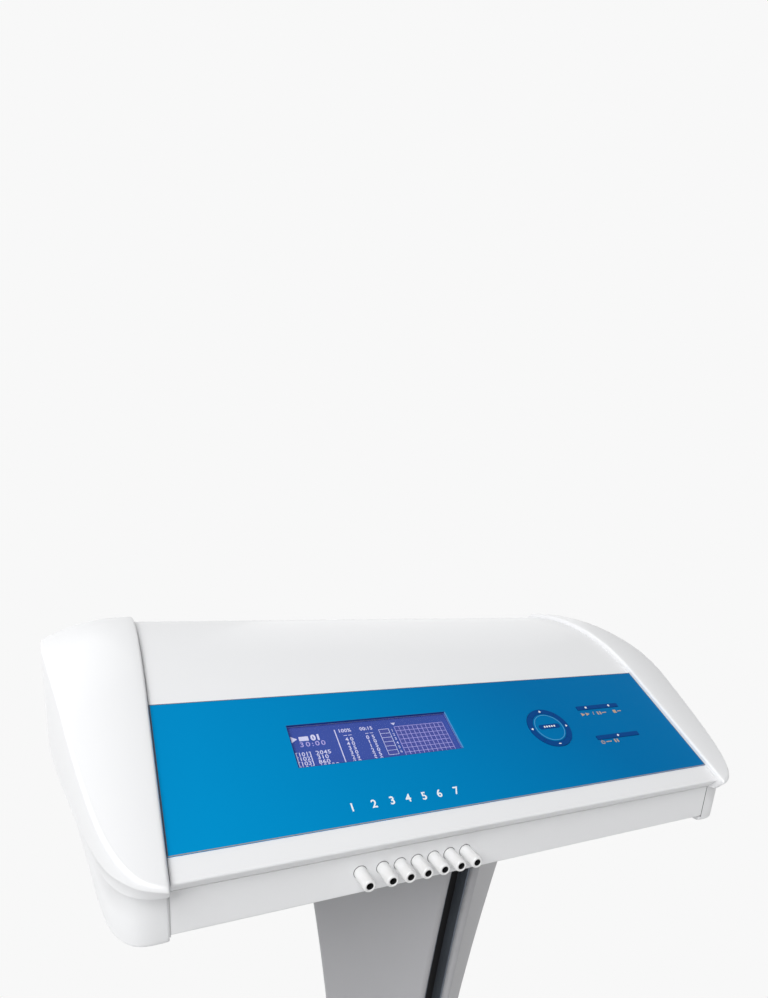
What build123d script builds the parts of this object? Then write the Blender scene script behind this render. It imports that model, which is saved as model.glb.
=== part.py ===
from build123d import *
import math
import os

# Compression therapy pump on a castor stand. Millimetres, +Z up, front towards -Y.
# The origin is on the floor, under the middle of the castor base.
# "Console frame" below means: origin at the middle of the tray's lower front edge, same axes.

# ------------------------------------------------------------------ console shell
TRAY_HEIGHT = 862.0  # tray underside above the floor
CONSOLE_SETBACK = 128.0  # tray front face ahead of the base's middle
CONSOLE_WIDTH = 450.0  # between the end caps
CONSOLE_DEPTH = 288.0
SHEET = 2.0
SEAM = 0.5
FLAT = 0.01  # an edge that spans less than this along an axis is flat there
FIT_GAP = 0.3
SKIRT_HEIGHT = 29.8
LIP_REACH = 8.6
LIP_RISE = 9.2
LIP_FOLD = 1.5
SLOPE_ANGLE = 28.46
STRIP_LENGTH = 17.2  # bare strip between the lip and the fascia
FASCIA_LENGTH = 118.9
FASCIA_THICKNESS = 0.8
CROWN_RADIUS = 250.9
BACK_RADIUS = 16.0

# ------------------------------------------------------------------ end caps
CAP_WALL = 3.0
CAP_PROUD = 4.5  # stands proud of the cover all round
CAP_WIDTH = 72.8
CAP_DROP = 5.0  # reaches below the tray
CAP_BACK_RADIUS = 14.0
CAP_FOOT_ROUND = 3.0
CAP_SIDE_ROUND = 4.0
CAP_LIP_LOW = 1.0  # the lip's edge below the cover's lip
CAP_OPENING = 12.0  # the room's cutter runs this far past the seam
CAP_LIP_INSET = 8.0  # the skirt's back corner lies this far inside the lip's
DOME_RADIUS = 123.0  # the dome falls outwards along this arc
DOME_PEAK = 5.0  # the arc's top lies this far outside the seam
DOME_LEVELS = 6
CAP_LIP_TIP = -14.8  # where the lip's outline leaves the seam, from the tray's front face
CAP_SKIRT_TIP = 1.3
# Outlines of the lip and the skirt from tip to back, as shares of the cap's width and of the depth behind the tip.
CAP_LIP_SHARES = [
    (0.0, 0.0), (0.165, 0.0152), (0.324, 0.0581), (0.521, 0.1856), (0.727, 0.4297), (0.940, 0.7754)
]
CAP_SKIRT_SHARES = [
    (0.0, 0.0), (0.192, 0.015), (0.338, 0.0474), (0.449, 0.129), (0.563, 0.3286), (0.805, 0.7628)
]

# ------------------------------------------------------------------ display and keys
# Places on the slope are (x, s), with s measured up the slope from the lip edge.
DISPLAY_MIDDLE = (-70.1, 87.2)
DISPLAY_VIEW = (131.8, 38.9)
LENS_THICKNESS = 0.8
LENS_RECESS = 1.0
MODULE_BORDER = 9.0
MODULE_THICKNESS = 8.0
KEY_TRAVEL = 0.5
KEY_GAP = 0.25
KEY_PROUD = 0.4
KEY_SKIRT = 3.0  # depth of a key below the cover's outer face
RING_MIDDLE = (86.4, 78.2)
RING_OUTER = 20.7
RING_INNER = 15.3
START_BAR = (153.1, 96.0)
STANDBY_BAR = (152.4, 61.2)
BAR_SIZE = (49.0, 4.4)
BAR_ROUND = 0.8
SWITCH_SIZE = 4.4
SWITCH_CLEARANCE = 0.1  # left between a pressed key and its switch
BOARD_DEPTH = 6.5  # key board's upper face below the cover's outer face
BOARD_THICKNESS = 1.6
STUD_RADIUS = 2.5
KEY_BOARD = (53.0, 193.0, 45.0, 115.0)  # x from, x to, s from, s to
KEY_BOARD_STUD = 5.0  # studs inside the board's edge

# ------------------------------------------------------------------ air side
OUTLET_COUNT = 7
OUTLET_FIRST_X = -108.0
OUTLET_SECOND_X = -91.8
OUTLET_PITCH = 12.84
OUTLET_HEIGHT = 16.3
OUTLET_REACH = 17.3
OUTLET_RADIUS = 4.45
OUTLET_BORE = 2.1
OUTLET_THREAD = 3.2
OUTLET_TAIL = 2.7
NUT_ACROSS_FLATS = 10.0
NUT_THICKNESS = 2.5
TUBE_WALL = 0.9
MANIFOLD = (-136.0, -18.0, 28.0, 48.0, 26.0)  # x from, x to, y from, y to, height
VALVE_RADIUS = 5.4
VALVE_HEIGHT = 16.0
VALVE_TIP = (2.0, 3.0)  # radius, height
SUPPLY_RADIUS = 4.0
SUPPLY_BORE = 2.5

# ------------------------------------------------------------------ compressor and electrics
COMPRESSOR = (-196.0, -122.0, 146.0, 236.0, 58.0)
COMPRESSOR_FOOT = (6.0, 9.0)  # radius, height
COMPRESSOR_RIBS = 6
COMPRESSOR_GROOVE = 6.0  # depth of the grooves between the ribs
COMPRESSOR_PORT = 20.0  # length of the bore behind the supply hose
MOTOR_RADIUS = 27.0
MOTOR_LENGTH = 74.0
MOTOR_ROUND = 4.0
MOTOR_BOSS = 6.0
POWER_SUPPLY = (96.0, 206.0, 160.0, 240.0, 38.0)
SUPPLY_SLOTS = (9, 10.0, 1.5)  # count, distance from the lid's ends, depth
MAIN_BOARD = (-34.0, 170.0, 56.0, 132.0)
BOARD_STANDOFF = 9.0
BOARD_FOOT = (3.0, 6.0)  # radius, distance inside the board's edges
BOARD_BLOCKS = [(20, 20, 26, 26, 3), (60, 14, 14, 30, 4), (90, 18, 30, 12, 18)]  # x, y, wide, deep, tall
CAPACITOR = (5.0, 16.0, 14.0)  # radius, height, pitch
CAPACITOR_COUNT = 5
BACK_PLATE = (-108.0, 128.0, 36.0, 98.0)  # x from, x to, z from, z to
BACK_PLATE_LAP = 6.0
BACK_PLATE_THICKNESS = 1.5
BACK_PLATE_CORNER = 4.0
PLATE_SCREW = (2.6, 1.6, 1.1, 0.8)  # head radius, head height, recess radius, recess depth
FAN_MIDDLE = (-62.0, 67.0)
FAN_SIZE = 50.0
FAN_DEPTH = 15.0
FAN_BORE = 23.5
FAN_HUB = 10.0
FAN_BLADES = 7
FAN_BLADE = (11.0, 1.2, 38.0)  # chord, thickness, pitch in degrees
FAN_CORNER = 4.0
FAN_SPOKE = (1.5, 2.0)  # half width, thickness
FAN_PIN = (2.0, 7.0)  # radius, length
ROTOR_DEPTH = 10.0
GRILLE_BARS = 7
GRILLE_SLOT = 3.4
INLET_MIDDLE = (84.0, 57.0)
INLET_BODY = (28.0, 44.0, 27.0)  # width, height, depth behind the plate
INLET_FLANGE = (34.0, 50.0, 2.0)
INLET_SOCKET = (24.4, 16.8, 17.0)
INLET_DROP = 10.0  # socket middle below the module's middle
INLET_CORNERS = (2.0, 4.0)  # rounding of the flange, slant of the socket's upper corners
INLET_PIN = (2.0, 4.0, 12.0)
INLET_PIN_SPOTS = [(-7.0, -2.0), (7.0, -2.0), (0.0, 2.0)]
ROCKER_SIZE = (19.0, 12.0)
ROCKER_RISE = 13.0
ROCKER_TILT = 8.0
ROCKER_GAP = 0.4
ROCKER_WELL = 14.0
ROCKER_FACE = 1.2  # height of the rocker's faces above its pivot line
ROCKER_DEPTH = 6.0

# ------------------------------------------------------------------ column
CHANNEL_HALF = 9.8
GUTTER_LIP = 9.2  # the gutter's edges behind the flanks' meeting line
GUTTER_FLOOR = 21.3  # its floor behind the same line
GUTTER_WALL = 1.5
PANEL_WALL = 2.5
LIP_ROUND = 4.0
EDGE_ROUND = 3.0
BACK_COVER_ROUND = 18.0
FLANK_FOLD = 15.0  # depth of the flank's fold beside the gutter
FLANK_RETURN = 14.0
BACK_COVER_DEPTH = 55.0
SIDE_TUCK = 25.0  # the sides run inwards towards the back by this angle
WAIST_HEIGHT = 262.0  # above the floor
WAIST_HALF_WIDTH = 52.5
WAIST_NOSE = 81.9  # set back from the tray's front face
WAIST_EDGE = 131.4
TOP_HALF_WIDTH = 115.5
TOP_NOSE = 28.3
TOP_EDGE = 116.7
COLUMN_LEVELS = 7
POST_SIZE = 50.0
POST_WALL = 3.0
POST_BACK = 160.0  # back of the post behind the tray's front face
TOP_PLATE = (120.0, 66.0, 5.0)
TOP_BOLTS = (12.0, 14.0)  # inside the plate's ends, off its middle line
FOOT_PLATE = (84.0, 5.0)
BOLT_RADIUS = 3.0
BOLT_PLAY = 0.2
NUT_SIZE = (5.5, 5.0)  # radius, height

# ------------------------------------------------------------------ base and castors
BASE_WIDTH = 500.0
BASE_LENGTH = 470.0
BASE_CORNER = 70.0
BASE_UNDERSIDE = 56.0
BASE_RIM = 14.0
BASE_WALL = 3.0
COLLAR_TOP = 100.0
COLLAR_SIZE = (176.0, 176.0)
COLLAR_CORNER = 34.0
COLLAR_Y = 3.0
COLLAR_OPENING = 96.0
BOSS_RADIUS = 6.0
BOSS_SHARES = (0.6, 0.7)  # places of the cover's bosses as shares of the castors' places
PLATE_UNDERSIDE = 60.0
PLATE_THICKNESS = 6.0
PLATE_MARGIN = 14.0
CASTOR_INSET = 50.0  # swivel axes inside the base cover's edge
CASTOR_TRAIL = 18.0
WHEEL_RADIUS = 25.0
WHEEL_WIDTH = 20.0
WHEEL_ROUND = 3.0
WHEEL_DISH = (7.0, 19.0, 2.5)  # hub radius, rim's inner radius, depth
AXLE_RADIUS = 3.0
RUNNING_GAP = 0.05
STEM_RADIUS = 5.0
FORK_WALL = 2.5
FORK_SIDE_GAP = 0.8
HOUSING_RADIUS = 17.0
BRAKE_PIVOT = (40.0, 46.2)  # behind the swivel axis, above the floor
BRAKE_PIN_RADIUS = 2.0
BRAKE_HUB_RADIUS = 4.6
BRAKE_LENGTH = 24.0
BRAKE_THICKNESS = 3.0

# ------------------------------------------------------------------ derived values
HALF_WIDTH = CONSOLE_WIDTH / 2
SLOPE = math.radians(SLOPE_ANGLE)
LIP_HEIGHT = SKIRT_HEIGHT + LIP_RISE
SLOPE_LENGTH = STRIP_LENGTH + FASCIA_LENGTH
SLOPE_TOP = (-LIP_REACH + SLOPE_LENGTH * math.cos(SLOPE), LIP_HEIGHT + SLOPE_LENGTH * math.sin(SLOPE))
CROWN_MIDDLE = (SLOPE_TOP[0] + CROWN_RADIUS * math.sin(SLOPE), SLOPE_TOP[1] - CROWN_RADIUS * math.cos(SLOPE))
CAP_BACK = CONSOLE_DEPTH + CAP_PROUD
OUTLET_X = [OUTLET_FIRST_X] + [OUTLET_SECOND_X + OUTLET_PITCH * i for i in range(OUTLET_COUNT - 1)]
KEY_TOP = FASCIA_THICKNESS + KEY_PROUD
SWITCH_TOP = -KEY_SKIRT - KEY_TRAVEL - SWITCH_CLEARANCE
PLATE_TOP = PLATE_UNDERSIDE + PLATE_THICKNESS
CASTOR_X = BASE_WIDTH / 2 - CASTOR_INSET
CASTOR_Y = BASE_LENGTH / 2 - CASTOR_INSET
COLUMN_TOP = TRAY_HEIGHT - FIT_GAP
COLUMN_FOOT = COLLAR_TOP + FIT_GAP
SIDE_SLANT = math.tan(math.radians(SIDE_TUCK))
CONSOLE = Location((0, -CONSOLE_SETBACK, TRAY_HEIGHT))
SLOPE_PLANE = Plane(
    origin=(0, -LIP_REACH, LIP_HEIGHT), x_dir=(1, 0, 0), z_dir=(0, -math.sin(SLOPE), math.cos(SLOPE))
)


# ------------------------------------------------------------------ small shapes
def block(x0, x1, y0, y1, z0, z1):
    """A box between two corners."""
    return Pos((x0 + x1) / 2, (y0 + y1) / 2, (z0 + z1) / 2) * Box(x1 - x0, y1 - y0, z1 - z0)


def rod(radius, start, end):
    """A round bar between two points."""
    start, end = Vector(*start), Vector(*end)
    return extrude(Plane(origin=start, z_dir=end - start) * Circle(radius), amount=(end - start).length)


def tube(outer, inner, start, end):
    """A round pipe between two points."""
    return rod(outer, start, end) - rod(inner, start, end)


def bolt(seat, length):
    """An upright bolt whose head sits on `seat`, with a socket in its head."""
    x, y, z = seat
    radius, height = NUT_SIZE
    driven = rod(radius, seat, (x, y, z + height)) + rod(BOLT_RADIUS, (x, y, z - length), seat)
    return driven - rod(radius / 2, (x, y, z + height / 2), (x, y, z + height + 1))


def group(shapes):
    """Separate solids that share one node."""
    return Compound(children=[solid for shape in shapes for solid in shape.solids()])


def line_meet(p, d, q, e):
    """Where the line through p along d meets the line through q along e, in two dimensions."""
    t = ((q[0] - p[0]) * e[1] - (q[1] - p[1]) * e[0]) / (d[0] * e[1] - d[1] * e[0])
    return (p[0] + d[0] * t, p[1] + d[1] * t)


# ------------------------------------------------------------------ console shell
def upper_curve(inset, first, last_height):
    """The slope, crown and back as edges in the YZ plane, pulled in by inset, from `first` to last_height."""
    top = (SLOPE_TOP[0] + inset * math.sin(SLOPE), SLOPE_TOP[1] - inset * math.cos(SLOPE))
    radius, corner, back = CROWN_RADIUS - inset, BACK_RADIUS - inset, CONSOLE_DEPTH - inset
    turn_y = back - corner
    turn_z = CROWN_MIDDLE[1] + math.sqrt((radius - corner) ** 2 - (turn_y - CROWN_MIDDLE[0]) ** 2)
    lift = math.atan2(turn_z - CROWN_MIDDLE[1], turn_y - CROWN_MIDDLE[0])

    def on_circle(middle, size, angle):
        return (0, middle[0] + size * math.cos(angle), middle[1] + size * math.sin(angle))

    start_angle = SLOPE + math.pi / 2
    crown_end = on_circle(CROWN_MIDDLE, radius, lift)
    return [
        Line((0, *first), (0, *top)),
        ThreePointArc((0, *top), on_circle(CROWN_MIDDLE, radius, (start_angle + lift) / 2), crown_end),
        ThreePointArc(crown_end, on_circle((turn_y, turn_z), corner, lift / 2), (0, back, turn_z)),
        Line((0, back, turn_z), (0, back, last_height)),
    ]


def closed_face(edges, *closing):
    """A face from edges in a row, closed by straight lines through the closing points."""
    points = [edges[-1] @ 1, *[Vector(*p) for p in closing], edges[0] @ 0]
    return make_face(edges + [Line(a, b) for a, b in zip(points, points[1:])])


def cover_region(inset):
    """The cover's filled section above the skirt, pulled in by inset."""
    under = (-LIP_REACH, LIP_RISE)
    size = math.hypot(*under)
    start = (inset * under[1] / size, SKIRT_HEIGHT - inset * under[0] / size)
    slope = (math.cos(SLOPE), math.sin(SLOPE))
    slope_point = (-LIP_REACH + inset * slope[1], LIP_HEIGHT - inset * slope[0])
    lip = line_meet(start, under, slope_point, slope)
    foot = line_meet(start, under, (0, SKIRT_HEIGHT), (1, 0))
    return closed_face([Line((0, *foot), (0, *lip))] + upper_curve(inset, lip, SKIRT_HEIGHT))


def on_slope(x, s, height, shape):
    """Places a shape made about its own middle on the slope."""
    return SLOPE_PLANE * Pos(x, s, height) * shape


def slope_cut(sketch, middle, depth=12.0):
    """A straight cutter through the slope with the sketch's outline."""
    return SLOPE_PLANE * Pos(*middle, -depth) * extrude(sketch, amount=2 * depth)


def bar_outline(growth=0.0):
    """One whole key bar, grown all round."""
    return RectangleRounded(BAR_SIZE[0] + 2 * growth, BAR_SIZE[1] + 2 * growth, BAR_ROUND + growth)


def key_cutters():
    """The openings that the keys work in."""
    return [
        slope_cut(Circle(RING_OUTER + KEY_GAP), RING_MIDDLE),
        slope_cut(bar_outline(KEY_GAP), START_BAR),
        slope_cut(bar_outline(KEY_GAP), STANDBY_BAR),
    ]


def board_posts():
    """Places of the studs that carry the key board and the display, as (x, s, length)."""
    key_reach = BOARD_DEPTH - SHEET
    display_reach = LENS_RECESS + LENS_THICKNESS + 2.0 - SHEET
    x_mid, s_mid = DISPLAY_MIDDLE
    half_x = DISPLAY_VIEW[0] / 2 + MODULE_BORDER + STUD_RADIUS + 1
    x0, x1, s0, s1 = KEY_BOARD
    inset = KEY_BOARD_STUD
    places = [(x, s, key_reach) for x in (x0 + inset, x1 - inset) for s in (s0 + inset, s1 - inset)]
    return places + [(x_mid + side * half_x, s_mid, display_reach + MODULE_THICKNESS / 2) for side in (-1, 1)]


def top_cover():
    """Folded sheet: lip, slope, crown and back, with its openings and the studs under it."""
    cover = extrude(cover_region(0) - cover_region(SHEET), amount=HALF_WIDTH - SEAM, both=True, dir=(1, 0, 0))
    lip_edges = cover.edges().filter_by(Axis.X).sort_by(lambda e: (e.center() - SLOPE_PLANE.origin).length)
    cover = fillet(lip_edges[0], LIP_FOLD)
    cover -= slope_cut(Rectangle(*DISPLAY_VIEW), DISPLAY_MIDDLE)
    for cutter in key_cutters():
        cover -= cutter
    x0, x1, z0, z1 = BACK_PLATE
    lap = BACK_PLATE_LAP
    cover -= block(x0 + lap, x1 - lap, CONSOLE_DEPTH - 2 * SHEET, CONSOLE_DEPTH + 1, z0 + lap, z1 - lap)
    for x, s, reach in board_posts():
        cover += on_slope(x, s, -SHEET - reach / 2, Cylinder(STUD_RADIUS, reach))
    return cover


def lower_tray():
    """Folded tray: floor, front skirt and back upstand, with the outlet holes and the column's bolt holes."""
    top = SKIRT_HEIGHT - FIT_GAP
    half = HALF_WIDTH - SEAM
    tray = block(-half, half, 0, CONSOLE_DEPTH, 0, top)
    tray = fillet(tray.edges().filter_by(Axis.X).group_by(Axis.Z)[0], LIP_FOLD)
    tray -= block(-half - 1, half + 1, SHEET, CONSOLE_DEPTH - SHEET, SHEET, top + 1)
    for x in OUTLET_X:
        tray -= rod(OUTLET_THREAD, (x, -1, OUTLET_HEIGHT), (x, SHEET + 1, OUTLET_HEIGHT))
    for x, y in column_bolts():
        tray -= rod(BOLT_RADIUS, (x, y, -1), (x, y, SHEET + 1))
    return tray


def inner_points(curve, wall, count=9):
    """Points of a curve moved to its left by wall."""
    points = []
    for i in range(count):
        spot, heading = curve @ (i / (count - 1)), curve % (i / (count - 1))
        points.append((spot.X - heading.Y * wall, spot.Y + heading.X * wall))
    return points


def cap_front(shares, tip):
    """Points of the right end cap's outline, from the seam outwards and backwards."""
    return [(HALF_WIDTH + x * CAP_WIDTH, tip + y * (CONSOLE_DEPTH - tip)) for x, y in shares]


def cap_plan(front, inset, wall=0.0):
    """Plan of the right end cap through its front points, its back corner pulled in by inset.

    With a wall it is the plan of the room inside, run past the seam so that it opens the cap there.
    """
    wide, back = CAP_WIDTH - inset, CAP_BACK - inset
    middle = Vector(HALF_WIDTH + wide - CAP_BACK_RADIUS, back - CAP_BACK_RADIUS)
    radius = CAP_BACK_RADIUS - wall
    side = Spline(*front, middle + Vector(CAP_BACK_RADIUS, 0))
    if wall:
        side = Spline(*inner_points(side, wall)[:-1], middle + Vector(radius, 0))
    corner = ThreePointArc(
        middle + Vector(radius, 0), middle + Vector(1, 1).normalized() * radius, middle + Vector(0, radius)
    )
    start = side @ 0
    closing = [(HALF_WIDTH - CAP_OPENING, back - wall), (HALF_WIDTH - CAP_OPENING, start.Y)]
    if not wall:
        closing = [(HALF_WIDTH, back)]
    return make_face([side, corner, *Polyline(corner @ 1, *closing, start).edges()])


def dome(proud, reach=0.0):
    """The cover's section, grown by proud, carried outwards from `reach` inside the seam along a falling arc."""
    ahead = -2 * DOME_RADIUS / 3
    slope_z = SLOPE_TOP[1] + (ahead - SLOPE_TOP[0]) * math.tan(SLOPE)
    start = (ahead - proud * math.sin(SLOPE), slope_z + proud * math.cos(SLOPE))
    low = slope_z - SHEET
    section = closed_face(upper_curve(-proud, start, low), (0, start[0], low))
    faces = []
    for i in range(DOME_LEVELS):
        out = (1.1 * CAP_WIDTH + reach) * i / (DOME_LEVELS - 1) - reach
        drop = DOME_RADIUS - math.sqrt(DOME_RADIUS**2 - (out - DOME_PEAK) ** 2)
        faces.append(Pos(HALF_WIDTH + out, 0, -drop) * section)
    return loft(faces)


def dome_rim(cap):
    """Edges between the dome and the upright side, from the front round to the back."""
    curved = [e for e in cap.edges() if e.center().Z > LIP_HEIGHT + FLAT and e.geom_type != GeomType.LINE]
    return [e for e in curved if e.bounding_box().size.X > FLAT and e.bounding_box().size.Y > FLAT]


def end_cap():
    """Right end cap: a hollow moulding with an overhanging lip, open towards the cover."""
    lip_front = cap_front(CAP_LIP_SHARES, CAP_LIP_TIP)
    skirt_front = cap_front(CAP_SKIRT_SHARES, CAP_SKIRT_TIP)
    lip = cap_plan(lip_front, 0)
    skirt = cap_plan(skirt_front, CAP_LIP_INSET)
    tall = 2 * LIP_HEIGHT + CROWN_RADIUS
    upper = (extrude(Pos(0, 0, LIP_HEIGHT - CAP_LIP_LOW) * lip, amount=tall) & dome(CAP_PROUD)).solid()
    upper = upper.fillet(CAP_SIDE_ROUND, dome_rim(upper))
    throat = loft([Pos(0, 0, SKIRT_HEIGHT) * skirt, Pos(0, 0, LIP_HEIGHT - CAP_LIP_LOW) * lip], ruled=True)
    lower = extrude(Pos(0, 0, -CAP_DROP) * skirt, amount=SKIRT_HEIGHT + CAP_DROP)
    foot_edges = lower.edges().filter_by_position(Axis.Z, -CAP_DROP - 0.1, -CAP_DROP + 0.1)
    lower = fillet([e for e in foot_edges if e.center().X > HALF_WIDTH + 0.1], CAP_FOOT_ROUND)
    room = cap_plan(lip_front, 0, CAP_WALL)
    low_room = cap_plan(skirt_front, CAP_LIP_INSET, CAP_WALL)
    hollow = (extrude(Pos(0, 0, LIP_HEIGHT) * room, amount=tall) & dome(CAP_PROUD - CAP_WALL, CAP_OPENING)).solid()
    floor = -CAP_DROP + CAP_WALL
    hollow += extrude(Pos(0, 0, floor) * low_room, amount=LIP_HEIGHT - floor)
    return (upper + throat + lower).solid() - hollow


# ------------------------------------------------------------------ fascia, display and keys
def fascia_panel():
    """Printed sheet on the slope, with the display window and the key openings."""
    middle = (0, STRIP_LENGTH + FASCIA_LENGTH / 2)
    plate = on_slope(
        *middle, FASCIA_THICKNESS / 2, Box(CONSOLE_WIDTH - 2 * SEAM, FASCIA_LENGTH, FASCIA_THICKNESS)
    )
    plate -= slope_cut(Rectangle(*DISPLAY_VIEW), DISPLAY_MIDDLE)
    for cutter in key_cutters():
        plate -= cutter
    return plate


def display_lens():
    """Clear sheet let into the display opening."""
    size = [d - 2 * FIT_GAP for d in DISPLAY_VIEW]
    return on_slope(*DISPLAY_MIDDLE, -LENS_RECESS - LENS_THICKNESS / 2, Box(*size, LENS_THICKNESS))


def display_module():
    """Graphic display: a glass cell with a frame, on its own board."""
    face = -max(SHEET, LENS_RECESS + LENS_THICKNESS) - FIT_GAP
    width, height = (d + 2 * MODULE_BORDER for d in DISPLAY_VIEW)
    cell = on_slope(*DISPLAY_MIDDLE, face - MODULE_THICKNESS / 2, Box(width, height, MODULE_THICKNESS))
    ears = on_slope(
        *DISPLAY_MIDDLE, face - MODULE_THICKNESS + BOARD_THICKNESS / 2,
        Box(width + 4 * STUD_RADIUS + 4, height, BOARD_THICKNESS),
    )
    return cell + ears


def solid_key(sketch, middle):
    """A key from its skirt under the cover to its top above the fascia."""
    body = extrude(sketch, amount=KEY_SKIRT + KEY_TOP)
    return SLOPE_PLANE * Pos(*middle, -KEY_SKIRT) * body


def ring_keys():
    """Four arrow keys, cut from one ring by narrow gaps on its diagonals."""
    ring = Circle(RING_OUTER) - Circle(RING_INNER + KEY_GAP / 2)
    reach = 2 * RING_OUTER
    keys = {}
    for name, angle in (("key_right", 0), ("key_up", 90), ("key_left", 180), ("key_down", 270)):
        tip = KEY_GAP / math.sqrt(2)
        wedge = make_face(Polyline((tip, 0), (reach, reach - tip), (reach, tip - reach), (tip, 0)))
        keys[name] = solid_key(ring & Rot(0, 0, angle) * wedge, RING_MIDDLE)
    return keys


def bar_keys():
    """The start and stop keys share one bar; the standby key is a bar of its own."""
    half = BAR_SIZE[0]
    left = Pos(-half / 2 - KEY_GAP / 2, 0) * Rectangle(half, half)
    right = Pos(half / 2 + KEY_GAP / 2, 0) * Rectangle(half, half)
    return {
        "key_start": solid_key(bar_outline() & left, START_BAR),
        "key_stop": solid_key(bar_outline() & right, START_BAR),
        "key_standby": solid_key(bar_outline(), STANDBY_BAR),
    }


def switch_places():
    """Middles of the switches under the eight keys."""
    x, s = RING_MIDDLE
    reach = (RING_OUTER + RING_INNER) / 2
    places = [(x, s), (x + reach, s), (x - reach, s), (x, s + reach), (x, s - reach)]
    quarter = BAR_SIZE[0] / 4
    return places + [(START_BAR[0] - quarter, START_BAR[1]), (START_BAR[0] + quarter, START_BAR[1]), STANDBY_BAR]


def key_switches():
    """One small switch under each key, standing on the key board."""
    height = BOARD_DEPTH + SWITCH_TOP
    return group(
        [on_slope(x, s, SWITCH_TOP - height / 2, Box(SWITCH_SIZE, SWITCH_SIZE, height)) for x, s in switch_places()]
    )


def key_board():
    """Board behind the keys, on four studs."""
    x0, x1, s0, s1 = KEY_BOARD
    board = Box(x1 - x0, s1 - s0, BOARD_THICKNESS)
    return on_slope((x0 + x1) / 2, (s0 + s1) / 2, -BOARD_DEPTH - BOARD_THICKNESS / 2, board)


# ------------------------------------------------------------------ air side
def air_outlet(x):
    """A tube with a shoulder on the skirt, a threaded neck and a tail for the inner hose."""
    z = OUTLET_HEIGHT
    neck_end = SHEET + NUT_THICKNESS + 1.0
    body = rod(OUTLET_RADIUS, (x, -OUTLET_REACH, z), (x, 0, z))
    body += rod(OUTLET_THREAD - RUNNING_GAP, (x, 0, z), (x, neck_end, z))
    body += rod(OUTLET_TAIL, (x, neck_end, z), (x, 3 * neck_end, z))
    return body - rod(OUTLET_BORE, (x, -OUTLET_REACH - 1, z), (x, 3 * neck_end + 1, z))


def outlet_nuts():
    """A hexagon nut behind the skirt on each outlet."""
    plane = Plane(origin=(0, SHEET, OUTLET_HEIGHT), x_dir=(1, 0, 0), z_dir=(0, 1, 0))
    ring = RegularPolygon(NUT_ACROSS_FLATS / 2, 6, major_radius=False) - Circle(OUTLET_THREAD)
    return group([extrude(plane * Pos(x, 0) * ring, amount=NUT_THICKNESS) for x in OUTLET_X])


def air_tubes():
    """Short hoses from the manifold to the outlets, and the supply hose from the compressor."""
    inner = OUTLET_TAIL + RUNNING_GAP
    start = SHEET + NUT_THICKNESS + 2.0
    z = OUTLET_HEIGHT
    hoses = [tube(inner + TUBE_WALL, inner, (x, start, z), (x, MANIFOLD[2], z)) for x in OUTLET_X]
    x = supply_x()
    hoses.append(tube(SUPPLY_RADIUS, SUPPLY_BORE, (x, MANIFOLD[3], z), (x, COMPRESSOR[2], z)))
    return group(hoses)


def supply_x():
    """The supply hose runs where manifold and compressor overlap in width."""
    return (MANIFOLD[0] + COMPRESSOR[1]) / 2


def valve_manifold():
    """Drilled block behind the outlets, standing on the tray."""
    x0, x1, y0, y1, height = MANIFOLD
    block_ = block(x0, x1, y0, y1, SHEET, height)
    gallery_y = (y0 + y1) / 2
    for x in OUTLET_X:
        block_ -= rod(OUTLET_BORE, (x, y0 - 1, OUTLET_HEIGHT), (x, gallery_y, OUTLET_HEIGHT))
    block_ -= rod(SUPPLY_BORE, (x0 + 3, gallery_y, OUTLET_HEIGHT), (x1 - 3, gallery_y, OUTLET_HEIGHT))
    return block_ - rod(SUPPLY_BORE, (supply_x(), gallery_y, OUTLET_HEIGHT), (supply_x(), y1 + 1, OUTLET_HEIGHT))


def solenoid_valves():
    """A coil on the manifold above each outlet."""
    y = (MANIFOLD[2] + MANIFOLD[3]) / 2
    top = MANIFOLD[4] + VALVE_HEIGHT
    coils = []
    for x in OUTLET_X:
        tip = rod(VALVE_TIP[0], (x, y, top), (x, y, top + VALVE_TIP[1]))
        coils.append(rod(VALVE_RADIUS, (x, y, MANIFOLD[4]), (x, y, top)) + tip)
    return group(coils)


# ------------------------------------------------------------------ compressor and electrics
def compressor_body():
    """Diaphragm compressor: a ribbed block on four feet, with an outlet to the supply hose."""
    x0, x1, y0, y1, height = COMPRESSOR
    base = SHEET + COMPRESSOR_FOOT[1]
    body = block(x0, x1, y0, y1, base, height)
    pitch = (y1 - y0) / COMPRESSOR_RIBS
    for i in range(COMPRESSOR_RIBS):
        y = y0 + pitch * (i + 0.5)
        body -= block(x0 - 1, x1 + 1, y - pitch / 4, y + pitch / 4, height - COMPRESSOR_GROOVE, height + 1)
    x, z = supply_x(), OUTLET_HEIGHT
    return body - rod(SUPPLY_BORE, (x, y0 - 1, z), (x, y0 + COMPRESSOR_PORT, z))


def compressor_feet():
    """Rubber feet between the compressor and the tray."""
    x0, x1, y0, y1, _ = COMPRESSOR
    radius, height = COMPRESSOR_FOOT
    spots = [(x, y) for x in (x0 + 2 * radius, x1 - 2 * radius) for y in (y0 + 2 * radius, y1 - 2 * radius)]
    return group([rod(radius, (x, y, SHEET), (x, y, SHEET + height)) for x, y in spots])


def compressor_motor():
    """Motor bolted to the compressor's side, with a short end boss."""
    x1 = COMPRESSOR[1]
    y = (COMPRESSOR[2] + COMPRESSOR[3]) / 2
    z = COMPRESSOR_FOOT[1] + MOTOR_RADIUS
    end = x1 + MOTOR_LENGTH
    can = rod(MOTOR_RADIUS, (x1, y, z), (end, y, z))
    can = fillet(can.edges().filter_by(GeomType.CIRCLE).sort_by(Axis.X)[-1], MOTOR_ROUND)
    return can + rod(MOTOR_RADIUS / 3, (end, y, z), (end + MOTOR_BOSS, y, z))


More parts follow.
